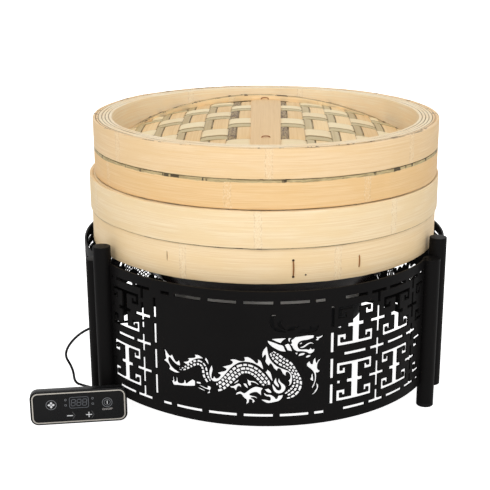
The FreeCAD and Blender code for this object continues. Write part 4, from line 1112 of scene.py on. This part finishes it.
def strip(bm, along, offset, width, parity, lift=0.0, wavy=True, thickness=None, taper=0.0):
    length = math.sqrt(max(weave["reach"] ** 2 - (abs(offset) + width / 2) ** 2, 1.0))
    verts = bmesh.ops.create_grid(bm, x_segments=4, y_segments=96, size=1.0)["verts"]
    faces = list({face for vert in verts for face in vert.link_faces})
    for vert in verts:
        ragged = 0.35 * noise.noise(Vector((offset, vert.co.y * 5, vert.co.x)))
        across = offset + vert.co.x * width / 2 * (1 + taper * vert.co.y) + ragged
        run = vert.co.y * length
        x, y = (across, run) if along == "y" else (run, across)
        if along == "y":
            wave = overUnder((y - weave["weftShift"] + 4.4) / weave["weftPitch"] + parity)
        else:
            wave = -overUnder((x - weave["warpShift"] + 5.2) / weave["warpPitch"] + parity)
        height = domeHeight(x, y) + (wave if wavy else 0.0) + lift - 0.25 * vert.co.x ** 2
        vert.co = Vector((x, y, height)) * mm
    if along == "x":
        bmesh.ops.reverse_faces(bm, faces=faces)
    bmesh.ops.solidify(bm, geom=faces, thickness=(thickness or weave["thickness"]) * mm)


def laid(bm, name, finish, node=None):  # turned a little, as the weave lies
    bmesh.ops.rotate(bm, cent=(0, 0, 0), matrix=Matrix.Rotation(math.radians(weave["turn"]), 3, "Z"), verts=bm.verts)
    finished(bm, name, "lid", finish, slot="bamboo_slat", node=node, turned=False)


def buildWeave():
    for name, way, size, tone, spread, half, dark, node in (
            ("warpStripsLight", "warp", "warpWide", shade(246, 214, 162), 0.16, 0.0, (), "lid_warp_strips"),
            ("warpStripsGrey", "warp", "warpThin", shade(204, 186, 144), 0.16, 0.5, weave["darkStrips"], None),
            ("weftStripsLight", "weft", "weftWide", shade(252, 232, 190), 0.1, 0.0, (), "lid_weft_strips"),
            ("weftStripsGrey", "weft", "weftThin", shade(206, 190, 146), 0.1, 0.5, (), None)):
        along = "y" if way == "warp" else "x"
        pitch, wide = weave[way + "Pitch"], weave[size]
        start = weave[way + "Shift"] - half * pitch
        finish = splitBamboo(name.replace("Strips", ""), tone, along, pitch * mm, dark, spread, wide * mm, start * mm,
                             weave["turn"])
        bm = bmesh.new()
        for index in range(-7, 8):
            offset = start + index * pitch
            if abs(offset) + wide / 2 < weave["edge"]:
                strip(bm, along, offset, wide, index)
        laid(bm, name, finish, node)
    bm = bmesh.new()
    strip(bm, "y", 0.5, 35.6, 0, lift=2.3, wavy=False, thickness=1.4, taper=0.12)
    strap = splitBamboo("strapBamboo", shade(236, 202, 152), "y", 0.2, spread=0.12, turn=weave["turn"])
    laid(bm, "lidStrap", strap, "lid_strap")
    bm = bmesh.new()
    for x, y, height in ((-5.2, -106.0, domeHeight(5, 106) + 2.9), (8.4, 172.4, 317.0), (-9.0, -172.4, 317.0)):
        points = [(x - 5.0, y, height - 1.5), (x - 4.4, y, height + 0.2), (x - 2, y, height + 0.9),
                  (x + 2, y, height + 0.9), (x + 4.4, y, height + 0.2), (x + 5.0, y, height - 1.5)]
        if y > 100:
            points = [(a, y - 0.2, c) for a, b, c in points]
        joined(bm, curveMesh(bentWire("staple", points, 0.6)))
    wire = splitBamboo("caneStaple", shade(150, 96, 56), "x", 0.01)
    finished(bm, "lidStaples", "lid", wire, node="lid_staples", slot="bamboo_dark")


def buildLid():
    seam, top, hoop, outer, proud = (lid[key] for key in ("seam", "top", "hoop", "outer", "proud"))
    upper = bambooBand("lidUpper", 0.203, seam * mm, top * mm, (0.1975, 0.2003), (0.0008, 0.0001), (0.75, 0.0))
    lower = bambooBand("lidLower", 0.203, lid["bottom"] * mm, seam * mm, (), (0.0003, 0.0042), (0.3, 0.85))
    hoopPiece("lidInnerHoop", "lid", bpy.data.materials["bambooInner"], "lid_inner_hoop", lid["inner"], hoop - 0.1,
              lid["hoopBottom"], top, 4, 4, 0.5, 0.1, edge=1.3)
    hoopPiece("lidLowerBand", "lid", lower, "lid_lower_band", hoop, outer, lid["bottom"], seam - 0.3,
              5, 2, 0.5, 0.5, 36.5, proud=proud)
    hoopPiece("lidUpperBand", "lid", upper, "lid_upper_band", hoop, outer, seam, top, 6, 2, 0.6, 0.5, edge=1.2,
              proud=proud)
    bm = bmesh.new()
    bandMesh(bm, lid["domeInner"], lid["inner"] - 0.1, *lid["hoopRest"], 7, 2, 0.3, 0.2, edge=0.8)
    inside, outside, low, high = lid["keeper"]
    bandMesh(bm, inside, outside, low, high, 8, 4, 1.2, 0.2, edge=0.8)
    for vert in bm.verts:
        vert.co.z -= archDrop(vert.co.x / mm) * mm
    keeper = bambooBand("keeper", 0.178, low * mm, high * mm, (0.1749, 0.1770, 0.1792), (0.0006, 0.0003), (0.6, 0.2),
                        archDrop(1000) / 1000)
    finished(bm, "lidDomeHoop", "lid", keeper, node="lid_dome_hoop", slot="bamboo")


buildBasket()
buildLid()
buildWeave()
print("basket and lid made")


# Handset

face = {"trimInset": 2.2, "trimWidth": 1.3, "display": (-9.4, 12.6, 19.2, 33.2), "digit": (5.2, 8.6),
        "dial": (-29.6, 24.6), "power": (33.3, 24.2), "minus": (-9.2, 10.2), "plus": (12.2, 10.3),
        "lights": ((-13.4, 30.0), (-13.4, 23.4), (17.0, 30.2), (17.0, 23.6))}


def roundBox(x0, x1, z0, z1, corner, steps=8):
    points = []
    for cx, cz, start in ((x1 - corner, z1 - corner, 0), (x0 + corner, z1 - corner, 90),
                          (x0 + corner, z0 + corner, 180), (x1 - corner, z0 + corner, 270)):
        for step in range(steps + 1):
            turn = math.radians(start + 90 * step / steps)
            points.append((cx + corner * math.cos(turn), cz + corner * math.sin(turn)))
    return points


standing = Matrix.Rotation(math.radians(90), 4, "X")


def onFace(flat, depth):  # a flat figure, stood up on the handset's face
    bmesh.ops.transform(flat, matrix=handsetFrame @ Matrix.Translation((0, -depth * mm, 0)) @ standing,
                        verts=flat.verts)
    return flat


def segmentDigit(x, z, wide, tall):
    figures = []
    stroke = 0.8
    for cx, cz, level in ((0, 1, True), (0, 0, True), (0, -1, True), (-1, 0.5, False), (1, 0.5, False),
                          (-1, -0.5, False), (1, -0.5, False)):
        px = x + cx * (wide / 2 - stroke / 2) + (cz * tall / 2) * 0.09
        pz = z + cz * (tall / 2 - stroke / 2)
        reach = (wide / 2 - stroke * 0.75) if level else (tall / 4 - stroke * 0.45)
        bar = [(-reach, 0), (-reach + stroke / 2, stroke / 2), (reach - stroke / 2, stroke / 2), (reach, 0),
               (reach - stroke / 2, -stroke / 2), (-reach + stroke / 2, -stroke / 2)]
        if not level:
            bar = [(b + a * 0.09, a) for a, b in bar]
        figures.append([(px + a, pz + b) for a, b in bar])
    return figures


def figure(points, *holes):  # a printed figure, hardly thicker than ink
    return cutPlate(points, list(holes), 0.06)


def outlineRing(x, z, outer, inner, sides=40):
    return figure(*(moved(circlePoints(radius, sides), x, z) for radius in (outer, inner)))


def printMark(bm, flat, material=0, depth=0.03):
    joined(bm, onFace(flat, depth), material=material)


def buildHandset():
    left, right, tall, depth = handset["left"], handset["right"], handset["height"], handset["depth"]
    outline = roundBox(left, right, 0, tall, handset["corner"])
    for name, near, far, finish, node, roundness in (
            ("handsetBack", 3.6, depth, shellBlack, "handset_back", 1.6),
            ("handsetFront", 0.0, 3.4, glossBlack, "handset_front", 1.1)):
        slab = cutPlate(outline, [], far - near)
        outer = -1 if name == "handsetBack" else 1
        bmesh.ops.dissolve_limit(slab, angle_limit=math.radians(1), verts=slab.verts, edges=slab.edges)
        rim = [line for line in slab.edges if all(outer * vert.co.z > 0 for vert in line.verts)]
        bmesh.ops.bevel(slab, geom=rim, offset=roundness * mm, segments=5, affect="EDGES", profile=0.5, material=-1)
        finished(onFace(slab, -(near + far) / 2), name, "frame", finish, node=node, slot="gloss_black", smooth=35)
    inset, wide = face["trimInset"], face["trimWidth"]
    outer = roundBox(left + inset, right - inset, inset, tall - inset, handset["corner"] - inset)
    inner = roundBox(left + inset + wide, right - inset - wide, inset + wide, tall - inset - wide,
                     handset["corner"] - inset - wide)
    trim = onFace(cutPlate(outer, [inner], 0.3), 0.1)
    finished(trim, "handsetTrim", "frame", trimSteel, node="handset_trim", slot="rim_steel")
    x0, x1, z0, z1 = face["display"]
    window = roundBox(x0, x1, z0, z1, 2.6)
    bm = bmesh.new()
    printMark(bm, cutPlate(window, [], 0.3), 0, 0.05)
    printMark(bm, figure(window, roundBox(x0 + 0.7, x1 - 0.7, z0 + 0.7, z1 - 0.7, 1.9)), 1, 0.24)
    for index in (-1, 0, 1):
        for bar in segmentDigit((x0 + x1) / 2 + index * 6.4, (z0 + z1) / 2, *face["digit"]):
            printMark(bm, figure(bar), 1, 0.24)
    finished(bm, "handsetDisplay", "frame", displayBlack, markGrey, slot="display_black", node="handset_display")
    bm = bmesh.new()
    x, z = face["dial"]
    printMark(bm, outlineRing(x, z, 6.0, 5.4), 3)
    petal = [(0.4, 0.0), (1.9, 1.35), (2.7, 1.35), (4.1, 0.0), (2.7, -1.35), (1.9, -1.35)]
    for degrees in (0, 90, 180, 270):
        printMark(bm, figure(moved(swung(petal, degrees), x, z)))
    x, z = face["power"]
    printMark(bm, outlineRing(x, z, 5.8, 5.2), 3)
    printMark(bm, outlineRing(x, z, 3.7, 3.2), 3)
    printMark(bm, figure(slotAt(0.8, 4.0, x, z)))
    label = words("ON/OFF", 3.2)
    bmesh.ops.translate(label, vec=(x * mm, (z - 8.4) * mm, 0), verts=label.verts)
    printMark(bm, label, 1)
    for key, sign in (("minus", slotAt(6.4, 1.1)), ("plus", mirrored([(3.3, 0.5), (0.5, 0.5), (0.5, 3.3)]))):
        x, z = face[key]
        printMark(bm, figure(moved(sign, x, z)))
        for side in (-1, 1):
            chevron = [(3.2, side * 4.6), (6.0, 0), (5.4, 0), (2.6, side * 4.6)]
            printMark(bm, figure(moved(chevron, x, z)), 2)
    for x, z in face["lights"]:
        printMark(bm, outlineRing(x, z, 1.3, 0.85, 20), 3)
    finished(bm, "handsetMarks", "frame", markWhite, ledOff, markFaint, markFrame, slot="display_black")


buildHandset()
print("handset made")
